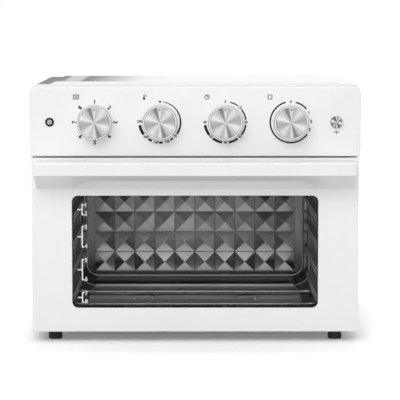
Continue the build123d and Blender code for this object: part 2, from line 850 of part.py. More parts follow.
# Ceramic bushes that carry the tubes in the side walls
with BuildPart() as element_insulators:
    for side in (-1, 1):
        for tube_y, tube_z in tube_places.values():
            wall = Plane((side * cavity_half, tube_y, tube_z), x_dir=(0, 1, 0), z_dir=(side, 0, 0))
            with BuildSketch(wall.offset(-bush_proud)):
                Circle(bush_radius)
            extrude(amount=bush_length)
            with BuildSketch(wall.offset(sheet)):
                Circle(bush_flange_radius)
            extrude(amount=bush_flange_width)
            with BuildSketch(wall.offset(-bush_proud)):
                Circle(tube_radius)
            extrude(amount=bush_length, mode=Mode.SUBTRACT)
save(element_insulators.part, "element_insulators")

# Arched clips under the lower tubes keep them off the tray
clip_bottom = cavity_floor_z + tray_thickness + support_gap
clip_rise = lower_tube_z - tube_radius - clip_bottom
with BuildPart() as element_supports:
    for inset in lower_tube_insets:
        with BuildSketch(front_plane(frame_back + inset + support_depth / 2)):
            with Locations((-support_x, clip_bottom), (support_x, clip_bottom)):
                Rectangle(support_width, clip_rise, align=(Align.CENTER, Align.MIN))
                Rectangle(
                    support_width - 2 * support_leg,
                    clip_rise - support_sheet,
                    align=(Align.CENTER, Align.MIN),
                    mode=Mode.SUBTRACT,
                )
        extrude(amount=support_depth)
    fillet(element_supports.edges().filter_by(Axis.Y).group_by(Axis.Z)[-1], support_round)
save(element_supports.part, "element_supports")

# Seal around the mouth of the cavity, just clear of the shut door
with BuildPart() as door_gasket:
    with BuildSketch(front_plane(frame_front)):
        add(
            cavity_outline(
                cavity_half + seal_margin + seal_width,
                cavity_floor_z - seal_margin - seal_width,
                cavity_ceiling_z + seal_width / 2,
                cavity_corner + seal_width,
            )
        )
        add(
            cavity_outline(
                cavity_half + seal_margin,
                cavity_floor_z - seal_margin,
                cavity_ceiling_z - seal_width / 2,
                cavity_corner + seal_margin,
            ),
            mode=Mode.SUBTRACT,
        )
    extrude(amount=seal_gap - seal_clearance)
    chamfer(door_gasket.faces().sort_by(Axis.Y)[0].outer_wire().edges(), seal_edge)
save(door_gasket.part, "door_gasket")


# Rotary controls behind the panel: a body on the frame's rear, a collar through it, a blind bore
def rotary_control(x, width, height, depth, stages):
    """Control whose stages step back from the frame; the shaft turns in its collar."""
    bore_end = frame_back + depth - control_end_wall
    with BuildPart() as control:
        for stage in range(stages):
            shrink = control_step * stage
            with BuildSketch(front_plane(frame_back + depth * (stage + 1) / stages)):
                with Locations((x, control_z)):
                    RectangleRounded(width - shrink, height - shrink, control_corner)
            extrude(amount=depth / stages)
        with BuildSketch(front_plane(frame_back)):
            with Locations((x, control_z)):
                Circle(shaft_radius + collar_wall)
        extrude(amount=collar_length)
        with BuildSketch(front_plane(bore_end)):
            with Locations((x, control_z)):
                Circle(shaft_radius + running_clearance)
        extrude(amount=bore_end - frame_back + collar_length, mode=Mode.SUBTRACT)
    return control.part


save(
    rotary_control(knob_xs[0], function_switch_side, function_switch_side, function_switch_depth, 3),
    "function_switch",
)
save(
    rotary_control(knob_xs[1], thermostat_width, thermostat_height, thermostat_depth, 1),
    "thermostat",
)
save(
    rotary_control(knob_xs[2], oven_timer_width, oven_timer_height, oven_timer_depth, 2),
    "oven_timer",
)
save(
    rotary_control(knob_xs[3], toast_timer_width, toast_timer_height, toast_timer_depth, 2),
    "toast_timer",
)


# Control panel: hollow moulding with rounded upper corners, whose top edge rises to the rear
def panel_outline(top):
    """Front view of the panel up to a given height."""
    with BuildSketch() as outline:
        with Locations((0, panel_bottom)):
            Rectangle(case_width, top - panel_bottom, align=(Align.CENTER, Align.MIN))
        fillet(outline.vertices().group_by(Axis.Y)[-1], panel_corner)
        fillet(outline.vertices().group_by(Axis.Y)[0], panel_lower_corner)
    return outline.sketch


panel_middle_z = (panel_bottom + panel_top_front) / 2
with BuildPart() as control_panel:
    with BuildSketch(front_plane(frame_front)):
        add(panel_outline(panel_top_rear))
    with BuildSketch(front_plane(panel_front)):
        add(panel_outline(panel_top_front))
    loft()
    fillet(control_panel.faces().sort_by(Axis.Y)[0].edges(), panel_edge)
    with BuildSketch(front_plane(frame_front)) as panel_hollow:
        with Locations((0, panel_middle_z)):
            Rectangle(case_width - 2 * panel_wall, panel_height - 2 * panel_wall)
        fillet(panel_hollow.vertices().group_by(Axis.Y)[-1], panel_corner - panel_wall)
    extrude(amount=frame_front - panel_inner, mode=Mode.SUBTRACT)
    with BuildSketch(front_plane(panel_inner)):
        with Locations((0, panel_middle_z)):
            with GridLocations(2 * (case_half - boss_inset), boss_spacing, 2, 2):
                Circle(boss_radius)
                Circle(boss_bore, mode=Mode.SUBTRACT)
    extrude(amount=panel_inner - frame_front)
    with BuildSketch(front_plane(panel_inner)):
        with Locations(*[(x, control_z) for x in knob_xs]):
            Circle(shaft_radius + knob_clearance)
        with Locations((button_x, control_z)):
            Circle(button_radius + button_clearance)
        with Locations((lamp_x, control_z)):
            Circle(lamp_ring_radius - lamp_ring_lip)
    extrude(amount=panel_wall, mode=Mode.SUBTRACT)
save(control_panel.part, "control_panel")


# Knobs: a tapered moulded skirt, a spun metal cap let into its face, and a shaft with a flat
def knob_pieces(x):
    """Skirt, cap and shaft of the knob at width x."""
    seat = Plane((x, panel_front, control_z), x_dir=(1, 0, 0), z_dir=(0, -1, 0))
    flat_line = (0, shaft_radius - shaft_flat)
    with BuildPart() as skirt:
        with BuildSketch(seat.offset(knob_clearance)):
            Circle(knob_radius)
        extrude(amount=knob_depth - knob_clearance, taper=knob_draft)
        fillet(skirt.edges().sort_by(Axis.Y)[0], knob_edge)
        with BuildSketch(seat.offset(knob_depth - cap_thickness)):
            Circle(cap_radius)
        extrude(amount=cap_thickness, mode=Mode.SUBTRACT)
        with BuildSketch(seat.offset(knob_clearance)):
            Circle(knob_radius - knob_wall)
            Circle(shaft_radius + knob_hub_wall, mode=Mode.SUBTRACT)
        extrude(amount=knob_depth / 2, mode=Mode.SUBTRACT)
        with BuildSketch(seat):
            Circle(shaft_radius)
            with Locations(flat_line):
                Rectangle(
                    2 * shaft_radius, shaft_flat, align=(Align.CENTER, Align.MIN), mode=Mode.SUBTRACT
                )
        extrude(amount=shaft_engagement, mode=Mode.SUBTRACT)
    with BuildPart() as cap:
        with BuildSketch(seat.offset(knob_depth - cap_thickness)):
            Circle(cap_radius)
            with Locations((0, cap_radius)):
                Triangle(
                    a=cap_notch,
                    B=60,
                    C=60,
                    rotation=180,
                    align=(Align.CENTER, Align.MIN),
                    mode=Mode.SUBTRACT,
                )
        extrude(amount=cap_thickness)
    with BuildPart() as shaft:
        with BuildSketch(seat.offset(shaft_engagement)):
            Circle(shaft_radius)
        extrude(amount=-shaft_length)
        with BuildSketch(seat):
            with Locations(flat_line):
                Rectangle(2 * shaft_radius, shaft_flat, align=(Align.CENTER, Align.MIN))
        extrude(amount=shaft_engagement, mode=Mode.SUBTRACT)
    return skirt.part, cap.part, shaft.part


for x, use in zip(knob_xs, ("function", "temperature", "timer", "toast")):
    knob_skirt, knob_cap, knob_shaft = knob_pieces(x)
    save(knob_skirt, f"knob_{use}")
    save(knob_cap, f"knob_cap_{use}")
    save(knob_shaft, f"knob_shaft_{use}")

# Light button: a cap through the panel with a flange behind its wall and a stem to the switch
button_seat = Plane((button_x, panel_front, control_z), x_dir=(1, 0, 0), z_dir=(0, -1, 0))
with BuildPart() as light_button:
    with BuildSketch(button_seat.offset(-panel_wall)):
        Circle(button_radius)
    extrude(amount=panel_wall + button_proud)
    fillet(light_button.edges().sort_by(Axis.Y)[0], button_clearance)
    with BuildSketch(button_seat.offset(-panel_wall - button_flange_sheet)):
        Circle(button_radius + button_flange)
    extrude(amount=button_flange_sheet)
    with BuildSketch(button_seat.offset(-panel_wall - button_stem)):
        Circle(button_radius / 2)
    extrude(amount=button_stem)
save(light_button.part, "light_button")

# Light switch on the front of the frame, its plunger just clear of the pressed stem
switch_front = panel_inner + button_stem + button_travel + button_clearance
with BuildPart() as light_switch:
    with BuildSketch(front_plane(frame_front)):
        with Locations((button_x, control_z)):
            Rectangle(switch_width, switch_height)
    extrude(amount=frame_front - switch_front - plunger_radius)
    with BuildSketch(front_plane(frame_front)):
        with Locations((button_x, control_z)):
            Circle(plunger_radius)
    extrude(amount=frame_front - switch_front)
save(light_switch.part, "light_switch")

# Power lamp: a dark ring through the panel and a domed lens in it
lamp_seat = Plane((lamp_x, panel_front, control_z), x_dir=(1, 0, 0), z_dir=(0, -1, 0))
lamp_back = lamp_seat.offset(-panel_wall - lamp_tail)
with BuildPart() as indicator_bezel:
    with BuildSketch(lamp_back):
        Circle(lamp_ring_radius - lamp_ring_lip)
    extrude(amount=panel_wall + lamp_tail)
    with BuildSketch(lamp_seat):
        Circle(lamp_ring_radius)
    extrude(amount=lamp_ring_lip, taper=20)
    with BuildSketch(lamp_back):
        Circle(lamp_lens_radius)
    extrude(amount=panel_wall + lamp_tail + lamp_ring_lip, mode=Mode.SUBTRACT)
save(indicator_bezel.part, "indicator_bezel")

with BuildPart() as indicator_lens:
    with BuildSketch(lamp_back):
        Circle(lamp_lens_radius)
    extrude(amount=panel_wall + lamp_tail + 2 * lamp_ring_lip)
    fillet(indicator_lens.edges().sort_by(Axis.Y)[0], lamp_ring_lip)
save(indicator_lens.part, "indicator_lens")


def rounded_window(grow):
    """Outline of the door's window, grown on every side."""
    with BuildSketch() as outline:
        with Locations((0, (window_bottom + window_top) / 2)):
            RectangleRounded(
                window_width + 2 * grow, window_top - window_bottom + 2 * grow, window_corner + grow
            )
    return outline.sketch


# Door frame: painted shell, open behind, solid along the bottom where the hinge bores are
pocket_bottom = door_bottom + hinge_bar_height
pocket_top = door_top - door_rim
pocket_half = door_width / 2 - door_rim
pocket_middle_z = (pocket_bottom + pocket_top) / 2
slot_x = hinge_x + (hinge_slot_outer - hinge_slot_inner) / 2
slot_width = hinge_slot_inner + hinge_slot_outer
slot_reach = hinge_inset + hinge_slot_depth
handle_middle_z = (handle_rear_bottom + handle_top) / 2
handle_screw_x = handle_width / 2 - handle_screw_inset
with BuildPart() as door_frame:
    with BuildSketch(front_plane(door_back)) as door_outline:
        with Locations((0, (door_bottom + door_top) / 2)):
            Rectangle(door_width, door_top - door_bottom)
        fillet(door_outline.vertices(), door_corner)
    extrude(amount=door_thickness)
    fillet(door_frame.faces().sort_by(Axis.Y)[0].edges(), door_edge)
    rear_edges = door_frame.faces().sort_by(Axis.Y)[-1].edges()
    fillet(rear_edges.filter_by(Axis.X).sort_by(Axis.Z)[0], hinge_inset - running_clearance)
    with BuildSketch(front_plane(door_back)):
        with Locations((0, pocket_middle_z)):
            Rectangle(2 * pocket_half, pocket_top - pocket_bottom)
        add(rounded_window(glass_overlap + glass_rib), mode=Mode.SUBTRACT)
    extrude(amount=door_thickness - door_wall, mode=Mode.SUBTRACT)
    with BuildSketch(front_plane(door_back)):
        add(rounded_window(glass_overlap))
    extrude(amount=door_thickness - glass_setback, mode=Mode.SUBTRACT)
    with BuildSketch(front_plane(door_back)):
        add(rounded_window(0))
    extrude(amount=door_thickness, mode=Mode.SUBTRACT)
    with BuildSketch(front_plane(door_back)):
        with Locations((0, pocket_middle_z)):
            Rectangle(2 * pocket_half, pocket_top - pocket_bottom)
    extrude(amount=sheet, mode=Mode.SUBTRACT)
    with BuildSketch(front_plane(door_back)):
        with Locations((-slot_x, door_bottom), (slot_x, door_bottom)):
            Rectangle(slot_width, slot_reach, align=(Align.CENTER, Align.MIN))
    extrude(amount=slot_reach, mode=Mode.SUBTRACT)
    for side in (-1, 1):
        with BuildSketch(side_plane(side * slot_x)):
            with Locations((hinge_y, hinge_z)):
                Circle(pin_radius + running_clearance)
        extrude(amount=pin_length / 2 + pin_end_play, both=True, mode=Mode.SUBTRACT)
    with BuildSketch(front_plane(door_front + door_wall)):
        with Locations((-handle_screw_x, handle_middle_z), (handle_screw_x, handle_middle_z)):
            Circle(screw_radius)
    extrude(amount=door_wall, mode=Mode.SUBTRACT)
save(door_frame.part, "door_frame")

# Glass let in from behind against the door's front wall
glass_front = door_front + glass_setback
glass_back = glass_front + glass_thickness
with BuildPart() as door_glass:
    with BuildSketch(front_plane(glass_back)):
        add(rounded_window(glass_overlap - liner_gap))
    extrude(amount=glass_thickness)
save(door_glass.part, "door_glass")

# Inner liner of the door: sheet closing the shell, with a wall that holds the glass
with BuildPart() as door_liner:
    with BuildSketch(front_plane(door_back)):
        with Locations((0, pocket_middle_z)):
            Rectangle(2 * (pocket_half - liner_gap), pocket_top - pocket_bottom - 2 * liner_gap)
        add(rounded_window(0), mode=Mode.SUBTRACT)
    extrude(amount=sheet)
    with BuildSketch(front_plane(door_back)):
        add(rounded_window(glass_overlap - liner_gap))
        add(rounded_window(glass_overlap - liner_gap - sheet), mode=Mode.SUBTRACT)
    extrude(amount=door_back - glass_back)
    with BuildSketch(front_plane(door_back)):
        add(rounded_window(0))
    extrude(amount=sheet, mode=Mode.SUBTRACT)
save(door_liner.part, "door_liner")

# Handle: a moulded bar on two wedge-shaped ends, with a finger gap behind the bar
gap_front_half = handle_width / 2 - finger_gap_front_margin
gap_rear_half = handle_width / 2 - finger_gap_rear_margin
bar_back = handle_front + handle_bar_depth
backplate_front = door_front - handle_backplate
with BuildPart() as handle:
    with BuildSketch(side_plane(-handle_width / 2)):
        with BuildLine():
            Polyline(
                (handle_front, handle_front_bottom),
                (handle_front, handle_top),
                (door_front, handle_top),
                (door_front, handle_rear_bottom),
                close=True,
            )
        make_face()
    extrude(amount=handle_width)
    fillet(handle.edges().filter_by(Axis.Z).group_by(Axis.Y)[0], handle_corner)
    fillet(handle.faces().sort_by(Axis.Y)[0].edges().filter_by(Axis.X), handle_edge)
    with BuildSketch(Plane.XY.offset(handle_rear_bottom)):
        with BuildLine():
            Polyline(
                (-gap_front_half, bar_back),
                (gap_front_half, bar_back),
                (gap_rear_half, backplate_front),
                (-gap_rear_half, backplate_front),
                close=True,
            )
        make_face()
    extrude(amount=handle_top - handle_rear_bottom, mode=Mode.SUBTRACT)
    with BuildSketch(front_plane(door_front)):
        with Locations((-handle_screw_x, handle_middle_z), (handle_screw_x, handle_middle_z)):
            Circle(screw_radius)
    extrude(amount=handle_screw_depth, mode=Mode.SUBTRACT)
save(handle.part, "handle")

# Screws that hold the handle from inside the door
with BuildPart() as handle_screws:
    with BuildSketch(front_plane(door_front + door_wall)):
        with Locations((-handle_screw_x, handle_middle_z), (handle_screw_x, handle_middle_z)):
            Circle(screw_head_radius)
    extrude(amount=-screw_head_height)
    with BuildSketch(front_plane(door_front + door_wall)):
        with Locations((-handle_screw_x, handle_middle_z), (handle_screw_x, handle_middle_z)):
            Circle(screw_radius)
    extrude(amount=door_wall + handle_screw_depth - sheet)
save(handle_screws.part, "handle_screws")

# Hinge brackets on the frame: a flange and an ear that reaches into the door's slot
with BuildPart() as hinge_brackets:
    for side in (-1, 1):
        ear_inner = side_plane(side * hinge_x - ear_thickness / 2)
        with BuildSketch(ear_inner):
            with Locations((hinge_y, hinge_z)):
                Circle(ear_radius)
                Rectangle(frame_front - hinge_y, 2 * ear_radius, align=(Align.MIN, Align.CENTER))
        extrude(amount=ear_thickness)
        with BuildSketch(front_plane(frame_front)):
            with Locations((side * hinge_x, base_bottom + bracket_rise)):
                Rectangle(bracket_width, bracket_height)
        extrude(amount=bracket_sheet)
        with BuildSketch(ear_inner):
            with Locations((hinge_y, hinge_z)):
                Circle(pin_radius)
        extrude(amount=ear_thickness, mode=Mode.SUBTRACT)
save(hinge_brackets.part, "hinge_brackets")

# Hinge pins through the ears
with BuildPart() as hinge_pins:
    for side in (-1, 1):
        with BuildSketch(side_plane(side * slot_x)):
            with Locations((hinge_y, hinge_z)):
                Circle(pin_radius)
        extrude(amount=pin_length / 2, both=True)
save(hinge_pins.part, "hinge_pins")

# Close-wound springs on the pins, drawn as one ridge for each turn
spring_crest = pin_radius + spring_core
spring_end = hinge_x - ear_thickness / 2
with BuildPart() as hinge_springs:
    for side in (-1, 1):
        with BuildSketch(Plane.XY.offset(hinge_z)):
            for turn in range(spring_turns):
                turn_x = side * (spring_end - spring_wire * (turn + 0.5))
                with Locations((turn_x, hinge_y + pin_radius)):
                    Rectangle(spring_wire, spring_core, align=(Align.CENTER, Align.MIN))
                with Locations((turn_x, hinge_y + spring_crest)):
                    Triangle(
                        a=spring_wire, b=spring_wire, c=spring_wire, align=(Align.CENTER, Align.MIN)
                    )
        revolve(axis=Axis((0, hinge_y, hinge_z), (1, 0, 0)))
save(hinge_springs.part, "hinge_springs")
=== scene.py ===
import json
import math

import bmesh
import bpy
import numpy as np
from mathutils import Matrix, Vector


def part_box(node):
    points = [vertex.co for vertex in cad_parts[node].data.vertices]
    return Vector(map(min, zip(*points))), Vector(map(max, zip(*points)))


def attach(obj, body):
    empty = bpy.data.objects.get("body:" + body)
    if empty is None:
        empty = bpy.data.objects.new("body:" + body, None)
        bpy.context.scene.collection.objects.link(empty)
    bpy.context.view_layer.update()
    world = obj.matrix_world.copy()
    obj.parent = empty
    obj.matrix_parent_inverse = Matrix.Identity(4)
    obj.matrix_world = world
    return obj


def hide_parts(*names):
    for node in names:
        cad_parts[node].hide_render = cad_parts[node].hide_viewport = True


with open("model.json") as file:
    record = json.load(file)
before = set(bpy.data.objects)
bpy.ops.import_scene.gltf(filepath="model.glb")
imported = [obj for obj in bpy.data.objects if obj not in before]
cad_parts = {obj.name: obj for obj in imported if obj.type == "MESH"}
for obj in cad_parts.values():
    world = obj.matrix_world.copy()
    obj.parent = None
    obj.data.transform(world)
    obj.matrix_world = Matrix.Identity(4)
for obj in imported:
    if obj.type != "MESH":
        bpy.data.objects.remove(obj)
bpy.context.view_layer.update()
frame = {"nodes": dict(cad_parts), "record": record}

MM = 0.001
TAU = 2 * math.pi
half_turn = 180
weld_distance = 1e-7
sharp_edge = math.radians(30)


# Surfaces worked out as arrays

def grid_cells(rows, columns):
    """Row and column number of every cell of a grid, as two flat arrays."""
    i, j = np.meshgrid(np.arange(rows), np.arange(columns), indexing="ij")
    return i.ravel(), j.ravel()


def grid_faces(rows, columns, wrap_rows=False, wrap_columns=False):
    """Quads over a grid of points: each joins point (i, j) with (i+1, j), (i+1, j+1) and (i, j+1)."""
    i, j = grid_cells(rows if wrap_rows else rows - 1, columns if wrap_columns else columns - 1)
    i_next, j_next = (i + 1) % rows, (j + 1) % columns
    corners = (i * columns + j, i_next * columns + j, i_next * columns + j_next, i * columns + j_next)
    return np.stack(corners, axis=1)


def carried(profile, path, across, up):
    """Profile carried along a path: point = path + first profile value x across + second x up.

    A flat face closes each end."""
    profile = np.asarray(profile, float)
    points = (path[:, None, :] + profile[None, :, :1] * across[:, None, :]
              + profile[None, :, 1:] * up[:, None, :])
    stations, around = points.shape[:2]
    faces = grid_faces(stations, around, wrap_columns=True).tolist()
    faces.append(list(range(around)))
    faces.append(list(range((stations - 1) * around, stations * around))[::-1])
    return points.reshape(-1, 3), faces


def straight(profile, start, end):
    """Figure in x and z carried straight between two points: point = end of the line + (x, 0, z)."""
    path = np.array([start, end], float)
    across = np.broadcast_to([1.0, 0.0, 0.0], path.shape)
    up = np.broadcast_to([0.0, 0.0, 1.0], path.shape)
    return carried(profile, path, across, up)


def round_section(radius, steps):
    """Circle about the origin: r (cos a, sin a)."""
    a = np.linspace(0, TAU, steps, endpoint=False)
    return radius * np.stack([np.cos(a), np.sin(a)], axis=1)


def turned(profile, centre, steps):
    """Profile turned about an axis along Y: x = centre + r sin a, z = centre + r cos a, y as given.

    The profile is a list of (radius, y) from the axis at the front to the axis at the back."""
    radius, depth = np.asarray(profile, float).T
    angle = np.linspace(0, TAU, steps, endpoint=False)[:, None]
    x = centre[0] + radius * np.sin(angle)
    z = centre[2] + radius * np.cos(angle)
    return np.stack([x, np.broadcast_to(depth, x.shape), z], axis=-1)


def closed_up(mesh):
    """Merges the points that meet at seams and poles, then turns the faces outwards."""
    work = bmesh.new()
    work.from_mesh(mesh)
    bmesh.ops.remove_doubles(work, verts=work.verts, dist=weld_distance)
    bmesh.ops.recalc_face_normals(work, faces=work.faces)
    work.to_mesh(mesh)
    work.free()


def placed(name, mesh, material, body):
    """Puts a finished mesh in the scene, dressed and riding on its body."""
    mesh.materials.append(material)
    made = bpy.data.objects.new(name, mesh)
    bpy.context.scene.collection.objects.link(made)
    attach(made, body)
    return made


def piece(name, shells, material, body, smooth=False):
    """One object from several closed shells of points and faces."""
    points, faces, start = [], [], 0
    for shell_points, shell_faces in shells:
        points.append(shell_points)
        faces.extend([[start + corner for corner in face] for face in shell_faces])
        start += len(shell_points)
    mesh = bpy.data.meshes.new(name)
    mesh.from_pydata(np.concatenate(points).tolist(), [], faces)
    closed_up(mesh)
    mesh.polygons.foreach_set("use_smooth", [smooth] * len(mesh.polygons))
    return placed(name, mesh, material, body)


# Steps of a finish: the range of a noise's usual values, and where two mixed tones are all dark or light

noise_low, noise_high = 0.3, 0.7
dark_end, light_end = 0.35, 0.65


def opaque(colour):
    """Colour for a socket, from one grey value or from three channels."""
    channels = (colour,) * 3 if isinstance(colour, float) else colour
    return (*channels, 1)


def blank_finish(name, metal=0.0):
    """A new material with one Principled shader wired to its output."""
    made = bpy.data.materials.new(name)
    made.use_nodes = True
    tree = made.node_tree
    tree.nodes.clear()
    out = tree.nodes.new("ShaderNodeOutputMaterial")
    skin = tree.nodes.new("ShaderNodeBsdfPrincipled")
    skin.inputs["Metallic"].default_value = metal
    tree.links.new(skin.outputs["BSDF"], out.inputs["Surface"])
    return made, tree, skin


def math_node(tree, operation, *values):
    """One sum over links and plain numbers."""
    node = tree.nodes.new("ShaderNodeMath")
    node.operation = operation
    for socket, value in zip(node.inputs, values):
        if isinstance(value, (int, float)):
            socket.default_value = value
        else:
            tree.links.new(value, socket)
    return node.outputs[0]


def between(tree, value, low, high, near=0.0, far=1.0, smooth=False):
    """Maps a value from near..far to low..high."""
    span = tree.nodes.new("ShaderNodeMapRange")
    span.interpolation_type = "SMOOTHSTEP" if smooth else "LINEAR"
    for label, number in (("From Min", near), ("From Max", far), ("To Min", low), ("To Max", high)):
        span.inputs[label].default_value = number
    tree.links.new(value, span.inputs["Value"])
    return span.outputs["Result"]


def grain(tree, scale, detail=3.0, stretch=(1, 1, 1)):
    """Noise over Object coordinates, stretched along the axes where asked."""
    place = tree.nodes.new("ShaderNodeTexCoord")
    shift = tree.nodes.new("ShaderNodeMapping")
    shift.inputs["Scale"].default_value = stretch
    noise = tree.nodes.new("ShaderNodeTexNoise")
    noise.inputs["Scale"].default_value = scale
    noise.inputs["Detail"].default_value = detail
    tree.links.new(place.outputs["Object"], shift.inputs["Vector"])
    tree.links.new(shift.outputs["Vector"], noise.inputs["Vector"])
    return noise.outputs["Fac"]


def drifting(tree, scale, low, high, detail=3.0):
    """Noise whose usual values are spread over the range asked for."""
    return between(tree, grain(tree, scale, detail), low, high, noise_low, noise_high)


def object_spot(tree):
    """The three Object coordinates, each on its own."""
    place = tree.nodes.new("ShaderNodeTexCoord")
    spot = tree.nodes.new("ShaderNodeSeparateXYZ")
    tree.links.new(place.outputs["Object"], spot.inputs["Vector"])
    return spot.outputs


def line_distance(tree, value, pitch, start=0.0):
    """Distance of a coordinate from the nearest of a row of lines, pitch apart."""
    return math_node(tree, "PINGPONG", math_node(tree, "SUBTRACT", value, start), pitch / 2)


def grey(tree, value):
    """Colour with the same value in its three channels."""
    tint = tree.nodes.new("ShaderNodeCombineColor")
    for channel in ("Red", "Green", "Blue"):
        tree.links.new(value, tint.inputs[channel])
    return tint.outputs["Color"]


def grey_scale(tree, value, stops, blue=1.0, blend="LINEAR"):
    """Greys from (place, value) pairs, looked up by a value; blue is the share of that channel."""
    ramp = tree.nodes.new("ShaderNodeValToRGB")
    ramp.color_ramp.interpolation = blend
    elements = ramp.color_ramp.elements
    for index, (place, level) in enumerate(stops):
        stop = elements[index] if index < 2 else elements.new(place)
        stop.position = place
        stop.color = (level, level, level * blue, 1)
    tree.links.new(value, ramp.inputs["Fac"])
    return ramp.outputs["Color"]


def two_tones(tree, value, dark, light):
    """Mixes two colours by a noise value."""
    ramp = tree.nodes.new("ShaderNodeValToRGB")
    for stop, place, colour in zip(ramp.color_ramp.elements, (dark_end, light_end), (dark, light)):
        stop.position = place
        stop.color = opaque(colour)
    tree.links.new(value, ramp.inputs["Fac"])
    return ramp.outputs["Color"]


def bumped(tree, skin, relief, strength, depth):
    """Raises the surface by a noise value, depth in metres."""
    bump = tree.nodes.new("ShaderNodeBump")
    bump.inputs["Strength"].default_value = strength
    bump.inputs["Distance"].default_value = depth
    tree.links.new(relief, bump.inputs["Height"])
    tree.links.new(bump.outputs["Normal"], skin.inputs["Normal"])


def surfaced(tree, skin, patch, rough, relief, strength, depth):
    """Gives a shader its drifting gloss and its fine relief."""
    tree.links.new(drifting(tree, patch, *rough, detail=4.0), skin.inputs["Roughness"])
    bumped(tree, skin, relief, strength, depth)


# Plain finishes, whose gloss drifts in smaller patches than their colour

gloss_to_colour = 2.3


def finish(name, dark, light, rough, metal=0.0, patch=30, fine=700, depth=2e-5, strength=0.3,
           stretch=(1, 1, 1), specular=0.5):
    """A finish with drifting colour, drifting gloss and a fine relief."""
    made, tree, skin = blank_finish(name, metal)
    skin.inputs["Specular IOR Level"].default_value = specular
    tree.links.new(two_tones(tree, grain(tree, patch), dark, light), skin.inputs["Base Color"])
    surfaced(tree, skin, patch * gloss_to_colour, rough, grain(tree, fine, 2.0, stretch), strength, depth)
    return made


def clear_finish(name, colour, alpha, rough, gloss):
    """A see-through pane with a faint drift in its gloss."""
    made, tree, skin = blank_finish(name)
    skin.inputs["Base Color"].default_value = opaque(colour)
    skin.inputs["Alpha"].default_value = alpha
    skin.inputs["Specular IOR Level"].default_value = gloss
    tree.links.new(drifting(tree, 12, *rough, detail=4.0), skin.inputs["Roughness"])
    return made


white_paint = finish("baked white enamel", 0.87, 0.89, (0.1, 0.16), patch=9, fine=900, depth=4e-6,
                     strength=0.2)
gloss_paint = finish("glossy white enamel", 0.87, 0.89, (0.04, 0.07), patch=9, fine=900, depth=5e-7,
                     strength=0.05)
white_moulding = finish("white moulded panel", (0.87, 0.86, 0.86), (0.89, 0.88, 0.88), (0.3, 0.4),
                        patch=14, fine=1600, depth=1e-5)
knob_moulding = finish("white moulded knob", 0.85, 0.88, (0.22, 0.3), patch=40, fine=1500, depth=8e-6)
liner_steel = finish("polished cavity steel", 0.21, 0.25, (0.14, 0.2), metal=1.0, patch=14, fine=1500,
                     depth=1e-6, strength=0.1)
# Side walls' steel, far darker than the rest of the cavity's: painted shade
side_steel_in_shade = finish("satin cavity steel in painted shade", 0.05, 0.06, (0.32, 0.36), metal=1.0, patch=8, fine=1500,
                    depth=1e-6, strength=0.1)
# Door liner's steel, far darker than the cavity's: painted shade, which the cavity reflects dark
door_liner_in_shade = finish("door liner in painted shade", 0.055, 0.08, (0.24, 0.32), metal=1.0, patch=14, fine=1500,
                          depth=1e-6, strength=0.1)
# Painted highlight for the seam beads and the ledges' edges
bead_highlight = finish("painted highlight on the cavity's seams", 0.9, 0.95, (0.3, 0.4), metal=0.2, patch=60, fine=1500,
                    depth=3e-6)
zinc_sheet = finish("zinc plated sheet", (0.57, 0.58, 0.59), (0.64, 0.65, 0.66), (0.34, 0.44), metal=1.0,
                    patch=110, fine=500, depth=6e-6)
bright_steel = finish("bright plated steel", (0.6, 0.6, 0.61), (0.7, 0.7, 0.71), (0.18, 0.3), metal=1.0,
                      patch=120, fine=1200, depth=6e-6)
tube_steel = finish("tempered tube steel", 0.24, 0.31, (0.14, 0.2), metal=1.0, patch=25, fine=800,
                    depth=1e-5, stretch=(0.1, 1, 1))
ceramic = finish("cream ceramic", (0.82, 0.79, 0.72), (0.9, 0.88, 0.83), (0.45, 0.6), patch=200, fine=1500)
black_moulding = finish("black moulding", (0.018, 0.018, 0.019), (0.04, 0.04, 0.042), (0.4, 0.55),
                        patch=90, fine=1400, depth=3e-5, strength=0.4, specular=0.15)
bezel_black = finish("glossy black bezel", 0.004, 0.009, (0.3, 0.4), patch=90, fine=1400, depth=5e-6,
                     specular=0.04)
black_rubber = finish("black rubber", 0.02, 0.045, (0.6, 0.75), patch=120, fine=1600, depth=4e-5,
                      strength=0.5, specular=0.3)
black_ink = finish("black dial ink", 0.006, 0.02, (0.4, 0.5), patch=300, specular=0.1)
pointer_grey = finish("engraved pointer", 0.1, 0.16, (0.4, 0.5), patch=300, specular=0.2)
white_ink = finish("white glass ink", 0.9, 0.95, (0.4, 0.5), patch=300)
indicator_finish = finish("grey green indicator", (0.26, 0.36, 0.33), (0.34, 0.45, 0.41), (0.1, 0.2),
                          patch=500, fine=900, specular=0.8)
door_pane = clear_finish("toned door glass", 0.01, 0.16, (0.02, 0.06), 0.12)
lamp_pane = clear_finish("ribbed lamp glass", (0.8, 0.82, 0.8), 0.35, (0.15, 0.3), 0.5)


# Steel in bands of tone along one axis, painted light and shade

def banded_finish(name, axis, stops, rough, fine, depth):
    """Steel brushed along X, its tone following (millimetres, value) pairs along one axis and drifting."""
    made, tree, skin = blank_finish(name, metal=1.0)
    first, last = stops[0][0], stops[-1][0]
    share = between(tree, object_spot(tree)[axis], 0.0, 1.0, first * MM, last * MM)
    tone = grey_scale(tree, share, [((at - first) / (last - first), level) for at, level in stops])
    drift = math_node(tree, "MULTIPLY", tone, drifting(tree, 20, 0.95, 1.05))
    tree.links.new(grey(tree, drift), skin.inputs["Base Color"])
    surfaced(tree, skin, 46, rough, grain(tree, fine, 2.0, (0.1, 1, 1)), 0.3, depth)
    return made


def tube_painted_light_finish(name, crown_highlight):
    """Heater tube in painted light and shade: painted shade up to a thin painted reflection line above its
    underside, then a painted highlight towards its crown.
    """
    underside_painted_shade = ((33.0, 0.04), (34.4, 0.05), (35.1, 0.3), (35.9, 0.01))
    return banded_finish(name, "Z", underside_painted_shade + crown_highlight, (0.14, 0.2), 800, 1e-5)
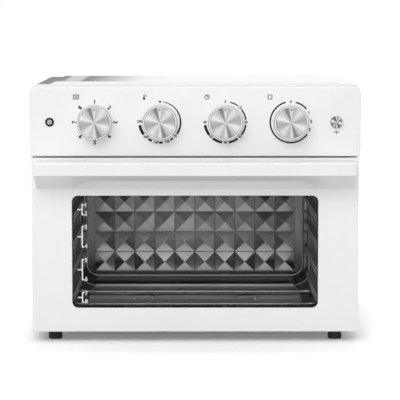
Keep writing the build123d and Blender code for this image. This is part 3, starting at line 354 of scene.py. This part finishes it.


# Painted light and shade on the tray along Y: a dark band of painted shade at 96 to 105 mm, darker towards
# the front, and a painted highlight on the rim at the back
tray_painted_light_and_shade = banded_finish("brushed tray steel in painted light and shade", "Y", (
    (-60, 0.3), (-17, 0.3), (-9, 0.68), (0, 0.5), (9, 0.66), (18, 0.95), (28, 0.98), (37, 0.88), (46, 0.75),
    (92, 0.75), (96, 0.12), (105, 0.12), (109, 0.58), (121, 0.5), (130, 0.35), (134, 0.3), (135, 0.85),
), (0.4, 0.5), 700, 3e-6)
# Each tube's crown as (millimetres, grey): a painted highlight
front_tube_painted_light = tube_painted_light_finish("front tube in painted light and shade", ((37.2, 0.01), (37.9, 0.2), (38.3, 0.6), (38.8, 0.98)))
rear_tube_painted_light = tube_painted_light_finish("rear tube in painted light and shade", ((36.9, 0.01), (37.5, 0.4), (38.2, 0.95), (38.8, 0.98)))


# Rear wall: the pyramids' pitch, the lowest line of their field, its half width, the pressed outline's
# half width, and the strip beyond it, which is broken at each row. Its tones are painted light and shade.

emboss_pitch = 27.3 * MM
emboss_bottom = 47.8 * MM
emboss_half = 136.8 * MM
crease = 0.5 * MM
outline_half = 147.2 * MM
strip_middle = 151.4 * MM
strip_half = 2.0 * MM
strip_break = 1.3 * MM
# Painted light and shade: a dark wall, a lit border and field, shaded creases, a painted highlight on the
# strip
wall_tone = 0.05
border_painted_light = 0.2
crease_painted_shade = -0.13
facet_painted_light = 0.4
strip_painted_highlight = 0.45


def embossed_painted_light_finish():
    """Rear wall's steel in painted light and shade: lit on the pyramids, in painted shade in their creases,
    on the border round them and below the field, with a painted highlight on the strip beyond the outline.

    Tone = wall + border within the outline + facet or crease within the field + strip beyond it."""
    made, tree, skin = blank_finish("embossed cavity steel in painted light and shade", metal=1.0)
    spot = object_spot(tree)
    x, z = spot["X"], spot["Z"]
    side = math_node(tree, "ABSOLUTE", x)
    row_line = line_distance(tree, z, emboss_pitch, emboss_bottom)
    nearest = math_node(tree, "MINIMUM", line_distance(tree, x, emboss_pitch), row_line)
    off_crease = math_node(tree, "GREATER_THAN", nearest, crease)
    field = math_node(tree, "MULTIPLY", math_node(tree, "LESS_THAN", side, emboss_half),
                      math_node(tree, "MULTIPLY_ADD", off_crease, facet_painted_light, crease_painted_shade))
    in_outline = math_node(tree, "LESS_THAN", side, outline_half)
    border = math_node(tree, "MULTIPLY_ADD", in_outline, border_painted_light, field)
    off_strip = math_node(tree, "ABSOLUTE", math_node(tree, "SUBTRACT", side, strip_middle))
    strip = math_node(tree, "MULTIPLY", math_node(tree, "LESS_THAN", off_strip, strip_half),
                      math_node(tree, "GREATER_THAN", row_line, strip_break))
    raised = math_node(tree, "MULTIPLY_ADD", strip, strip_painted_highlight, border)
    above = math_node(tree, "GREATER_THAN", z, emboss_bottom - crease)
    level = math_node(tree, "MULTIPLY_ADD", above, raised, wall_tone)
    drift = math_node(tree, "MULTIPLY", level, drifting(tree, 14, 0.9, 1.1))
    tree.links.new(grey(tree, drift), skin.inputs["Base Color"])
    surfaced(tree, skin, 30, (0.14, 0.2), grain(tree, 1500, 2.0), 0.1, 1e-6)
    return made


# Door frame: how far it laps over the glass, and where its black return begins

window_seat = 3.5 * MM
return_margin = 0.3 * MM
return_depth = 0.4 * MM
return_drop = -0.83


def door_frame_finish():
    """White enamel, black on the faces inside the window's opening, behind its front edge."""
    made, tree, skin = blank_finish("door enamel")
    glass_low, glass_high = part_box("door_glass")
    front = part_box("door_frame")[0][1]
    centre = (glass_low[2] + glass_high[2]) / 2
    half_width = glass_high[0] - window_seat + return_margin
    half_height = glass_high[2] - window_seat + return_margin - centre
    spot = object_spot(tree)
    aside = math_node(tree, "ABSOLUTE", spot["X"])
    off_centre = math_node(tree, "ABSOLUTE", math_node(tree, "SUBTRACT", spot["Z"], centre))
    inside = math_node(tree, "MULTIPLY", math_node(tree, "LESS_THAN", aside, half_width),
                       math_node(tree, "LESS_THAN", off_centre, half_height))
    behind = math_node(tree, "GREATER_THAN", spot["Y"], front + return_depth)
    blackened = math_node(tree, "MULTIPLY", inside, behind)
    level = math_node(tree, "MULTIPLY_ADD", blackened, return_drop, drifting(tree, 9, 0.87, 0.89))
    tree.links.new(grey(tree, level), skin.inputs["Base Color"])
    surfaced(tree, skin, 21, (0.1, 0.16), grain(tree, 900, 2.0), 0.2, 4e-6)
    return made


# Knobs: places of their caps, and the grey line of painted shade round the front edge of each skirt

uses = ("function", "temperature", "timer", "toast")
knob_front_radius = 20.7 * MM
edge_shade_width = 0.7 * MM
knob_rounding = 1.0 * MM
edge_shade_drop = -0.6


def middle(node):
    """Centre of a node's box."""
    low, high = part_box(node)
    return (np.array(low) + np.array(high)) / 2


dial = {use: middle(f"knob_cap_{use}") for use in uses}


def knob_finish(use):
    """White moulding with a grey line of painted shade round the front edge: grey where the distance from the
    axis passes the line's start and the depth stays within the rounding of the edge."""
    made, tree, skin = blank_finish(f"white moulded knob {use}")
    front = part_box(f"knob_{use}")[0][1]
    spot = object_spot(tree)
    axis_x, _, axis_z = dial[use]
    sides = [math_node(tree, "SUBTRACT", spot[axis], place) for axis, place in (("X", axis_x), ("Z", axis_z))]
    squares = [math_node(tree, "MULTIPLY", side, side) for side in sides]
    reach = math_node(tree, "SQRT", math_node(tree, "ADD", *squares))
    outer = math_node(tree, "GREATER_THAN", reach, knob_front_radius - edge_shade_width)
    rounded = math_node(tree, "LESS_THAN", spot["Y"], front + knob_rounding)
    in_edge_shade = math_node(tree, "MULTIPLY", outer, rounded)
    level = math_node(tree, "MULTIPLY_ADD", in_edge_shade, edge_shade_drop, drifting(tree, 40, 0.85, 0.88))
    tree.links.new(grey(tree, level), skin.inputs["Base Color"])
    surfaced(tree, skin, 90, (0.22, 0.3), grain(tree, 1500, 2.0), 0.3, 8e-6)
    return made


# Every CAD node gets the finish of its slot, or its own where it has one

slot_finish = {
    "white_paint": white_paint,
    "white_moulding": white_moulding,
    "knob_moulding": knob_moulding,
    "spun_metal": bright_steel,
    "cavity_liner": liner_steel,
    "plated_sheet": zinc_sheet,
    "plated_steel": bright_steel,
    "tube_steel": tube_steel,
    "ceramic_bush": ceramic,
    "black_moulding": black_moulding,
    "black_rubber": black_rubber,
    "clear_glass": door_pane,
    "lamp_lens": indicator_finish,
}
own_finish = {
    "lamp_lens": lamp_pane,
    "outer_wrap": gloss_paint,
    "cavity_back": embossed_painted_light_finish(),
    "cavity_left": side_steel_in_shade,
    "cavity_right": side_steel_in_shade,
    "crumb_tray": tray_painted_light_and_shade,
    "door_frame": door_frame_finish(),
    "door_liner": door_liner_in_shade,
    "element_supports": tube_steel,
    "heater_bottom_front": front_tube_painted_light,
    "heater_bottom_rear": rear_tube_painted_light,
    "indicator_bezel": bezel_black,
    **{f"knob_{use}": knob_finish(use) for use in uses},
}

for row in frame["record"]["subparts"]:
    cad_mesh = frame["nodes"][row["node"]].data
    cad_mesh.materials.clear()
    cad_mesh.materials.append(own_finish.get(row["node"], slot_finish[row["material_slot"]]))


# Spun discs on the knobs and the button

def spun_finish(name, stops):
    """Metal turned on a lathe: light and dark fans of painted reflection repeated each half turn, and grooves
    round the centre.
    """
    made, tree, skin = blank_finish(name, metal=1.0)
    skin.inputs["Anisotropic"].default_value = 0.8
    polar = tree.nodes.new("ShaderNodeUVMap")
    polar.uv_map = "polar"
    parts = tree.nodes.new("ShaderNodeSeparateXYZ")
    tree.links.new(polar.outputs["UV"], parts.inputs["Vector"])
    turn = math_node(tree, "FRACT", math_node(tree, "MULTIPLY", parts.outputs["Y"], 2.0))
    painted_fans = grey_scale(tree, turn, [(degrees / half_turn, level) for degrees, level in stops],
                     blue=1.005, blend="EASE")
    tree.links.new(painted_fans, skin.inputs["Base Color"])
    rings = tree.nodes.new("ShaderNodeTexNoise")
    rings.noise_dimensions = "1D"
    rings.inputs["Scale"].default_value = 90.0
    tree.links.new(parts.outputs["X"], rings.inputs["W"])
    gloss = between(tree, rings.outputs["Fac"], 0.24, 0.38, noise_low, noise_high)
    tree.links.new(gloss, skin.inputs["Roughness"])
    bumped(tree, skin, rings.outputs["Fac"], 0.25, 1e-5)
    tangent = tree.nodes.new("ShaderNodeTangent")
    tangent.direction_type = "UV_MAP"
    tangent.uv_map = "polar"
    tree.links.new(tangent.outputs["Tangent"], skin.inputs["Tangent"])
    return made


# Greys of the painted reflection fans, as (degrees, grey) over half a turn
spun_metal = spun_finish("spun aluminium with painted reflections", (
    (0, 0.5), (12, 0.36), (40, 0.6), (75, 0.34), (90, 0.4), (110, 0.68), (138, 0.42), (162, 0.14),
    (179.5, 0.5),
))
spun_button_metal = spun_finish("spun button steel with painted reflections", (
    (0, 0.5), (18, 0.18), (38, 0.6), (62, 0.12), (84, 0.42), (108, 0.75), (128, 0.22), (156, 0.06),
    (179.5, 0.5),
))


def spun_disc(name, profile, centre, body, node, material, steps=192):
    """Turned disc with polar coordinates: first the distance from the axis, then the share of a turn."""
    rows = len(profile)
    mesh = bpy.data.meshes.new(name)
    mesh.from_pydata(turned(profile, centre, steps).reshape(-1, 3).tolist(), [],
                     grid_faces(steps, rows, wrap_rows=True).tolist())
    radius = np.array([r for r, _ in profile])
    i, j = grid_cells(steps, rows - 1)
    turn = np.stack([i, i + 1, i + 1, i], axis=1) / steps
    reach = radius[np.stack([j, j, j + 1, j + 1], axis=1)] / radius.max()
    polar = mesh.uv_layers.new(name="polar")
    polar.data.foreach_set("uv", np.stack([reach, turn], axis=-1).ravel())
    closed_up(mesh)
    mesh.polygons.foreach_set("use_smooth", [True] * len(mesh.polygons))
    mesh.set_sharp_from_angle(angle=sharp_edge)
    made = placed(name, mesh, material, body)
    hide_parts(node)


def dished(radius, front, dish, shares):
    """Shallow hollow of a spun face: depth = front + dish x (1 - t squared) at the radius times t."""
    return [(radius * t, front + dish * (1 - t * t)) for t in shares]


cap_inset = 0.5 * MM
cap_dish = 0.12 * MM
cap_bevel = 0.35 * MM


def cap_profile(front, back, radius):
    """Section of a knob's cap: a dished face with a bevelled rim."""
    face = dished(radius, front, cap_dish, (0.0, 0.12, 0.3, 0.5, 0.7, 0.85, 0.95))
    rim = [(radius - cap_bevel, front), (radius, front + cap_bevel), (radius, back), (0.0, back)]
    return face + rim


def button_profile(front, back):
    """Section of the push button: a dished face with a bevelled rim, a flange behind it and a stem."""
    radius, bevel, flange, stem = 6.7 * MM, 0.3 * MM, 8.7 * MM, 3.35 * MM
    wall = front + 7.0 * MM
    flange_back = wall + 1.5 * MM
    face = dished(radius, front, 0.25 * MM, (0.0, 0.2, 0.4, 0.6, 0.8, 0.92))
    skirt = [(radius - bevel, front), (radius, front + bevel), (radius, wall), (flange, wall)]
    tail = [(flange, flange_back), (stem, flange_back), (stem, back), (0.0, back)]
    return face + skirt + tail


for use in uses:
    cap_low, cap_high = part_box(f"knob_cap_{use}")
    cap_radius = (cap_high[0] - cap_low[0]) / 2 - cap_inset
    spun_disc(f"spun_cap_{use}", cap_profile(cap_low[1], cap_high[1], cap_radius), dial[use],
              f"{use}_control", f"knob_cap_{use}", spun_metal)

button_low, button_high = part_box("light_button")
spun_disc("spun_button", button_profile(button_low[1], button_high[1]), middle("light_button"), "button",
          "light_button", spun_button_metal, 96)


# Ink marks: thin slabs on the panel and on the glass

panel_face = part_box("control_panel")[0][1]
ink = 0.04 * MM
figure_share = 0.7
flip_below = -0.2
steps_per_turn = 200


def arc_mark(centre, radius, start, end, width_start, width_end):
    """Ring slab between two clockwise angles from the top: x = r sin a, z = r cos a, widening evenly."""
    steps = max(3, int(steps_per_turn * (end - start) / 360) + 2)
    angle = np.radians(np.linspace(start, end, steps))
    width = np.linspace(width_start, width_end, steps)[:, None]
    outward = np.stack([np.sin(angle), 0 * angle, np.cos(angle)], axis=1)
    path = np.array([centre[0], panel_face, centre[2]]) + radius * outward
    front = np.broadcast_to([0.0, -1.0, 0.0], path.shape)
    return carried([(-0.5, -ink), (0.5, -ink), (0.5, ink), (-0.5, ink)], path, outward * width, front)


def flat_mark(outline, x, z, face):
    """Slab of ink on a face: an outline set off from a point, carried through the ink's thickness."""
    return straight(outline, (x, face + ink, z), (x, face - ink, z))


def bar_mark(x_from, x_to, z_from, z_to, face):
    """Straight slab of ink between two corners."""
    return flat_mark([(x_from, z_from), (x_to, z_from), (x_to, z_to), (x_from, z_to)], 0, 0, face)


def dot_mark(centre, radius):
    """Round slab of ink."""
    return flat_mark(round_section(radius, 20), centre[0], centre[2], panel_face)


def figure_mark(text, centre, height, turn=0.0, face=panel_face, weight=0.0):
    """Figures of ink, centred on a point and turned clockwise, each glyph a slab."""
    curve = bpy.data.curves.new("figure", "FONT")
    curve.body = text
    curve.align_x, curve.align_y = "CENTER", "CENTER"
    curve.size = height / figure_share
    curve.extrude = ink
    curve.offset = weight
    curve.resolution_u = 3
    holder = bpy.data.objects.new("figure", curve)
    bpy.context.scene.collection.objects.link(holder)
    bpy.context.view_layer.update()
    mesh = bpy.data.meshes.new_from_object(holder.evaluated_get(bpy.context.evaluated_depsgraph_get()))
    flat = np.empty(len(mesh.vertices) * 3)
    mesh.vertices.foreach_get("co", flat)
    flat = flat.reshape(-1, 3)
    c, s = math.cos(math.radians(turn)), math.sin(math.radians(turn))
    x = centre[0] + flat[:, 0] * c + flat[:, 1] * s
    z = centre[2] - flat[:, 0] * s + flat[:, 1] * c
    points = np.stack([x, face - flat[:, 2], z], axis=1)
    faces = [list(polygon.vertices) for polygon in mesh.polygons]
    bpy.data.objects.remove(holder)
    bpy.data.meshes.remove(mesh)
    return points, faces


def round_figures(centre, radius, texts, angles, height, turned_with_dial, weight):
    """Figures round a dial, upright or turned with it and then never upside down."""
    shells = []
    for text, degrees in zip(texts, angles):
        a = math.radians(degrees)
        spot = (centre[0] + radius * math.sin(a), 0, centre[2] + radius * math.cos(a))
        turn = 0.0
        if turned_with_dial:
            turn = degrees if math.cos(a) > flip_below else degrees + half_turn
        shells.append(figure_mark(text, spot, height, turn, weight=weight))
    return shells


# Dial print: for each dial its figures (texts, angles, height, turned with the dial, extra weight)
# and its arcs (from, to, width at the start and at the end), in degrees and millimetres

print_ring = 24.7 * MM
zero_dot = 1.4 * MM
button_ring = 7.0 * MM
button_ring_width = 0.4 * MM
dial_figures = (
    ("function", "12345678", range(0, 360, 45), 4.6, True, 0.3),
    ("temperature", ("70", "120", "160", "200", "230"), (133, 160, 192, 224, 272), 2.9, False, 0.18),
    ("timer", ("0", "10", "20", "30", "40", "50", "60"), range(0, 315, 45), 3.0, False, 0.18),
    ("toast", ("0",), (0,), 3.0, False, 0.18),
    ("toast", ("1", "2", "3"), (62, 88, 112), 3.8, False, 0.22),
)
dial_arcs = {
    "temperature": ((8, 125, 0.9, 2.5), (141, 150, 2.2, 2.2), (173, 183, 2.6, 2.6), (204, 215, 2.9, 2.9),
                    (233, 262, 3.5, 3.5)),
    "timer": ((13, 38, 1.44, 1.6), (51, 83, 1.8, 2.0), (97, 128, 2.07, 2.3), (143, 171, 2.43, 2.7),
              (189, 218, 2.7, 3.0), (231, 262, 3.15, 3.5)),
    "toast": ((14, 50, 1.9, 1.9), (126, 346, 1.9, 1.9)),
}

marks = [
    dot_mark(dial["temperature"] + np.array([0, 0, print_ring]), zero_dot),
    arc_mark(middle("light_button"), button_ring, 0, 360, button_ring_width, button_ring_width),
]
for use, texts, angles, height, turned_with_dial, weight in dial_figures:
    marks += round_figures(dial[use], print_ring, texts, angles, height * MM, turned_with_dial, weight * MM)
for use, arcs in dial_arcs.items():
    marks += [arc_mark(dial[use], print_ring, start, end, thin * MM, thick * MM)
              for start, end, thin, thick in arcs]
piece("dial_print", marks, black_ink, "root")


# Small pictograms over the dials and under the button, in millimetres about their own centres:
# a heating mode, a thermometer, a clock, a slice of toast and a lamp

line = 0.9
sign_height = 30.4
sign_shifts = (-22.6, -19.3, -22.2, -25.0)
lamp_sign_drop = 11.8


def block_marks(centre, blocks):
    """Upright oblongs of ink, each as x, z, width and height about a centre."""
    return [bar_mark(centre[0] + (x - width / 2) * MM, centre[0] + (x + width / 2) * MM,
                     centre[2] + (z - height / 2) * MM, centre[2] + (z + height / 2) * MM, panel_face)
            for x, z, width, height in blocks]


def bow_mark(centre, x, z, radius, start=0, end=360):
    """Arc one line wide about a point set off from a centre."""
    return arc_mark(centre + np.array([x, 0, z]) * MM, radius * MM, start, end, line * MM, line * MM)


mode, heat, clock, toast = [dial[use] + np.array([shift, 0, sign_height]) * MM
                            for use, shift in zip(uses, sign_shifts)]
lamp_sign = middle("light_button") - np.array([0, 0, lamp_sign_drop]) * MM
pictograms = block_marks(mode, ((-3.2, 0, line, 5.6), (3.2, 0, line, 5.6), (0, 2.45, 5.6, line),
                                (0, -2.45, 5.6, line), (0, 1.0, 3.6, line), (0, -1.0, 3.6, line)))
pictograms += block_marks(heat, ((0, 0.9, 1.3, 4.0), (2.3, 2.2, 1.5, line), (2.3, 0.6, 1.5, line)))
pictograms.append(dot_mark(heat - np.array([0, 0, 2.0]) * MM, 1.5 * MM))
pictograms += block_marks(clock, ((0, 0.8, line, 2.2), (0.8, 0, 1.6, line)))
pictograms.append(bow_mark(clock, 0, 0, 2.6))
pictograms += block_marks(toast, ((0, -2.45, 5.2, line), (-2.25, -0.6, line, 3.0), (2.25, -0.6, line, 3.0),
                                  (0, 2.45, 3.0, line)))
pictograms += [bow_mark(toast, x, 1.45, 1.0, start, start + half_turn)
               for x, start in ((-1.5, half_turn), (1.5, 0))]
pictograms += block_marks(lamp_sign, ((-3.0, 0, 1.6, line), (3.0, 0, 1.6, line), (0, -2.6, line, 1.4)))
pictograms.append(bow_mark(lamp_sign, 0, 0, 1.0))
piece("panel_pictograms", pictograms, black_ink, "root")


# Pointers: a notch near the top of each cap, measured down from its rim

notch_half = 0.7
notch_top = -0.9
notch_bottom = -3.6
notch_sunk = 0.1 * MM
notch_proud = 0.02 * MM

for use in uses:
    cap_low, cap_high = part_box(f"knob_cap_{use}")
    rim_top = cap_high[2] - cap_inset
    notch = [(dial[use][0] + x * MM, rim_top + z * MM) for x, z in (
        (-notch_half, notch_top), (notch_half, notch_top), (notch_half, notch_bottom),
        (-notch_half, notch_bottom))]
    slab = straight(notch, (0, cap_low[1] + notch_sunk, 0), (0, cap_low[1] - notch_proud, 0))
    piece(f"pointer_{use}", [slab], pointer_grey, f"{use}_control")


# Print on the door glass: brackets with the rack numbers, as the height of each bracket's two ends

glass_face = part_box("door_glass")[0][1]
bracket_x = -138.0 * MM
bracket_arm = 3.2 * MM
bracket_line = 1.3 * MM
bracket_ends = ((169.3, 155.7), (142.5, 116.1), (102.1, 75.8), (61.2, 48.3))
tick_to_arm = 1.6
rack_figure_x = bracket_x + 5.3 * MM
rack_figure_inset = 1.6
rack_figure_height = 5.1 * MM
rack_figure_weight = 0.07 * MM


def bracket_mark(x, z_top, z_bottom, arm, thick):
    """Square bracket open to the right, with a short tick on its left."""
    z_mid = (z_top + z_bottom) / 2
    return [
        bar_mark(x, x + thick, z_bottom, z_top, glass_face),
        bar_mark(x + thick, x + arm, z_top - thick, z_top, glass_face),
        bar_mark(x + thick, x + arm, z_bottom, z_bottom + thick, glass_face),
        bar_mark(x - tick_to_arm * arm, x, z_mid - thick / 2, z_mid + thick / 2, glass_face),
    ]


rack_print = []
for number, (z_top, z_bottom) in enumerate(bracket_ends):
    rack_print += bracket_mark(bracket_x, z_top * MM, z_bottom * MM, bracket_arm, bracket_line)
    for end, z in enumerate((z_top - rack_figure_inset, z_bottom + rack_figure_inset)):
        text = str(2 * number + end + 1)
        rack_print.append(figure_mark(text, (rack_figure_x, 0, z * MM), rack_figure_height, face=glass_face,
                                      weight=rack_figure_weight))
piece("rack_print", rack_print, white_ink, "door")


# Beads along the rear wall's seam and round its pressed outline, nearly white as a painted highlight

wall_edge = 1.0 * MM
wall_low, wall_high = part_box("cavity_back")
wall_face = wall_high[1] - wall_edge
seam_half = wall_high[0] - wall_edge
seam_bottom = wall_low[2] + wall_edge


def cavity_path(half_width, bottom, top, corner, y, steps=14):
    """Path down one side, round the lower corners and up again: arcs are corner centre + r (cos a, sin a)."""
    a = np.linspace(0, math.pi / 2, steps)
    left = np.stack([-half_width + corner - corner * np.cos(a), bottom + corner - corner * np.sin(a)], axis=1)
    right = left[::-1] * (-1, 1)
    route = np.concatenate([[(-half_width, top)], left, right, [(half_width, top)]])
    return np.stack([route[:, 0], np.full(len(route), y), route[:, 1]], axis=1)


def beading(path, radius, steps=10):
    """Round bead along a path in a plane across Y, its section square to the path."""
    run = np.gradient(path, axis=0)
    run /= np.linalg.norm(run, axis=1)[:, None]
    back = np.broadcast_to([0.0, 1.0, 0.0], path.shape)
    return carried(round_section(radius, steps), path, np.cross(run, back), back)


# Each bead in millimetres: in from the side, up from the bottom, corner radius, proud of the wall, radius
bead_sizes = ((0.9, 0.9, 19, 0.7, 0.9), (9.4, 14.4, 16, 0.4, 0.8))
beads = []
for inward, upward, corner, proud, radius in bead_sizes:
    path = cavity_path(seam_half - inward * MM, seam_bottom + upward * MM, wall_high[2], corner * MM,
                       wall_face - proud * MM)
    beads.append(beading(path, radius * MM))
piece("rear_wall_highlight_beads", beads, bead_highlight, "root", smooth=True)


# Bright edges of the pressed ledges in the side walls: thin rods in painted highlight

ledge_tops = (54.0, 87.0, 120.0, 153.0)
ledge_height = 14.0
ledge_slant = 4.2 * MM
ledge_reach = 7.0 * MM
ledge_front_gap = 21.0 * MM
ledge_rear_gap = 22.5 * MM
ledge_edge_radius = 0.45 * MM

ledge_lines = []
for wall, outer, inward in (("cavity_left", 0, 1), ("cavity_right", 1, -1)):
    side_low, side_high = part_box(wall)
    edge_x = (side_low, side_high)[outer][0] + inward * ledge_reach
    for top in ledge_tops:
        for z in (top * MM - ledge_slant, (top - ledge_height) * MM + ledge_slant):
            ledge_lines.append(straight(
                round_section(ledge_edge_radius, 8),
                (edge_x, side_low[1] + ledge_front_gap, z), (edge_x, side_high[1] - ledge_rear_gap, z)))
piece("ledge_highlight_edges", ledge_lines, bead_highlight, "root", smooth=True)


# Floor: its shadow's core under the oven, and how it runs out to white beyond that

core_half = (("X", 0.177), ("Y", 0.195))
floor_tone = 0.75
near_glow, far_glow = 0.1, 0.4
glow_reach = 0.09
floor_half = 8.0


def seen_directly(tree):
    """One for rays of the camera, of gloss and of glass, nought for the rays that carry light."""
    rays = tree.nodes.new("ShaderNodeLightPath").outputs
    seen = rays["Is Camera Ray"]
    for ray in ("Is Glossy Ray", "Is Transmission Ray"):
        seen = math_node(tree, "MAXIMUM", seen, rays[ray])
    return seen


def floor_finish():
    """Pale floor that runs out to white round the oven: its glow grows with the distance from the oven."""
    made, tree, skin = blank_finish("pale floor")
    skin.inputs["Roughness"].default_value = 0.9
    skin.inputs["Specular IOR Level"].default_value = 0.1
    skin.inputs["Emission Color"].default_value = opaque(1.0)
    seen = seen_directly(tree)
    tree.links.new(between(tree, seen, floor_tone, 1.0), skin.inputs["Base Color"])
    spot = object_spot(tree)
    squares = []
    for axis, half in core_half:
        past = math_node(tree, "SUBTRACT", math_node(tree, "ABSOLUTE", spot[axis]), half)
        beyond = math_node(tree, "MAXIMUM", past, 0.0)
        squares.append(math_node(tree, "MULTIPLY", beyond, beyond))
    away = math_node(tree, "SQRT", math_node(tree, "ADD", *squares))
    glow = between(tree, away, near_glow, far_glow, 0.0, glow_reach, smooth=True)
    tree.links.new(math_node(tree, "MULTIPLY", glow, seen), skin.inputs["Emission Strength"])
    return made


def flat_sheet(name, corners, material):
    """One flat sheet of the set."""
    mesh = bpy.data.meshes.new(name)
    mesh.from_pydata(corners, [], [(0, 1, 2, 3)])
    mesh.materials.append(material)
    made = bpy.data.objects.new(name, mesh)
    bpy.context.scene.collection.objects.link(made)
    return made


flat_sheet("counter", [(x * floor_half, y * floor_half, 0) for x, y in ((-1, -1), (1, -1), (1, 1), (-1, 1))],
           floor_finish())


# Card behind the oven: its edges, the lean of its greys about one height, and where they start and end

card_left, card_right = -0.8, -0.02
card_bottom, card_top = 0.29, 0.342
card_y = 0.3
level_height = 0.3225
card_lean = 1.55
greys_start, greys_end = -0.235, -0.02
card_greys = ((0.0, 0.18), (0.245, 0.18), (0.25, 0.6), (0.36, 0.6), (0.365, 0.16), (0.45, 0.32),
              (0.75, 0.92), (1.0, 1.0))


def card_finish():
    """Greys of the card from left to right: dark, grey, dark, then up to white, leaning as they rise."""
    made, tree, skin = blank_finish("grey card")
    skin.inputs["Base Color"].default_value = opaque(0.0)
    skin.inputs["Specular IOR Level"].default_value = 0.0
    skin.inputs["Emission Strength"].default_value = 1.0
    spot = object_spot(tree)
    rise = math_node(tree, "SUBTRACT", spot["Z"], level_height)
    slanted = math_node(tree, "MULTIPLY_ADD", rise, card_lean, spot["X"])
    share = between(tree, slanted, 0.0, 1.0, greys_start, greys_end)
    tree.links.new(grey_scale(tree, share, card_greys), skin.inputs["Emission Color"])
    return made


# Only gloss sees the card, so it throws no shadow
card = flat_sheet("reflected_card", [(card_left, card_y, card_bottom), (card_right, card_y, card_bottom),
                                     (card_right, card_y, card_top), (card_left, card_y, card_top)],
                  card_finish())
card.visible_camera = False
card.visible_diffuse = False
card.visible_shadow = False
card.visible_transmission = False


# World, lamps and camera

sky_light = 0.7


def sky():
    """White world: as bright as a studio to the camera and to gloss, softer as a light."""
    world = bpy.data.worlds.new("studio")
    world.use_nodes = True
    tree = world.node_tree
    tree.nodes.clear()
    out = tree.nodes.new("ShaderNodeOutputWorld")
    light = tree.nodes.new("ShaderNodeBackground")
    light.inputs["Color"].default_value = opaque(1.0)
    tree.links.new(between(tree, seen_directly(tree), sky_light, 1.0), light.inputs["Strength"])
    tree.links.new(light.outputs["Background"], out.inputs["Surface"])
    bpy.context.scene.world = world


sky()


def softbox(name, place, aim, width, height, power):
    """Oblong lamp turned towards a point: its tilt is acos(-z) of the unit direction to it, and its turn
    atan2(x, -y) and half a turn more."""
    lamp = bpy.data.lights.new(name, "AREA")
    lamp.shape = "RECTANGLE"
    lamp.size, lamp.size_y, lamp.energy = width, height, power
    made = bpy.data.objects.new(name, lamp)
    made.location = place
    toward = np.array(aim, float) - np.array(place, float)
    toward /= np.linalg.norm(toward)
    made.rotation_euler = (math.acos(-toward[2]), 0, math.atan2(toward[0], -toward[1]) + math.pi)
    bpy.context.scene.collection.objects.link(made)
    return made


softbox("front_softbox", (-0.8, -3.0, 2.0), (0, 0, 0.15), 2.6, 1.6, 44)
top_light = softbox("top_softbox", (0, -0.5, 1.7), (0, -0.15, 0.25), 3.0, 1.0, 36)
top_light.visible_diffuse = False

# Small lamps just inside the cavity's ceiling, floor and walls, which the pressed rear wall reflects.
# Those on the floor face up and those on a wall face the other wall, all leaning a hair to the rear.
# Each row: name, place, width, height, watts
lean = 0.001
floor_lamps = (
    ("cavity_lamp_below", (0, 0.122, 0.034), 0.27, 0.028, 0.0145),
    ("cavity_lamp_below_front", (0, 0.079, 0.034), 0.27, 0.058, 0.0157),
)
wall_lamps = (
    ("cavity_lamp_right", (0.149, -0.025, 0.1365), 0.1, 0.117, 0.0178),
    ("cavity_lamp_left", (-0.149, -0.025, 0.1365), 0.1, 0.117, 0.014),
    ("cavity_lamp_right_rear", (0.149, 0.0825, 0.1325), 0.113, 0.145, 0.0123),
    ("cavity_lamp_left_rear", (-0.149, 0.0825, 0.1325), 0.113, 0.145, 0.0123),
    ("cavity_lamp_right_glint", (0.148, -0.015, 0.09), 0.09, 0.024, 0.0024),
    ("cavity_lamp_right_low", (0.149, -0.005, 0.064), 0.14, 0.028, 0.0024),
    ("cavity_lamp_left_low", (-0.149, -0.005, 0.064), 0.14, 0.028, 0.0024),
)
cavity_lamps = [softbox("cavity_lamp_above", (0, -0.042, 0.214), (0, -0.042, 0), 0.28, 0.085, 0.063)]
cavity_lamps += [softbox(name, (x, y, z), (x, y + lean, 1.0), width, height, watts)
                 for name, (x, y, z), width, height, watts in floor_lamps]
cavity_lamps += [softbox(name, (x, y, z), (-math.copysign(1.0, x), y + lean, z), width, height, watts)
                 for name, (x, y, z), width, height, watts in wall_lamps]
for lamp in cavity_lamps:
    lamp.visible_camera = False

camera_place = (-0.0029, -2.5422, 0.4066)
camera_dip = 5.542
camera_turn = -0.212
focal_in_pixels = 1981.1
picture_side = 400

camera = bpy.data.objects.new("camera", bpy.data.cameras.new("camera"))
camera.location = camera_place
camera.rotation_euler = (math.radians(90 - camera_dip), 0, math.radians(camera_turn))
camera.data.sensor_width = 36.0
camera.data.lens = focal_in_pixels / picture_side * camera.data.sensor_width
bpy.context.scene.collection.objects.link(camera)
bpy.context.scene.camera = camera
bpy.context.scene.view_settings.view_transform = "Standard"
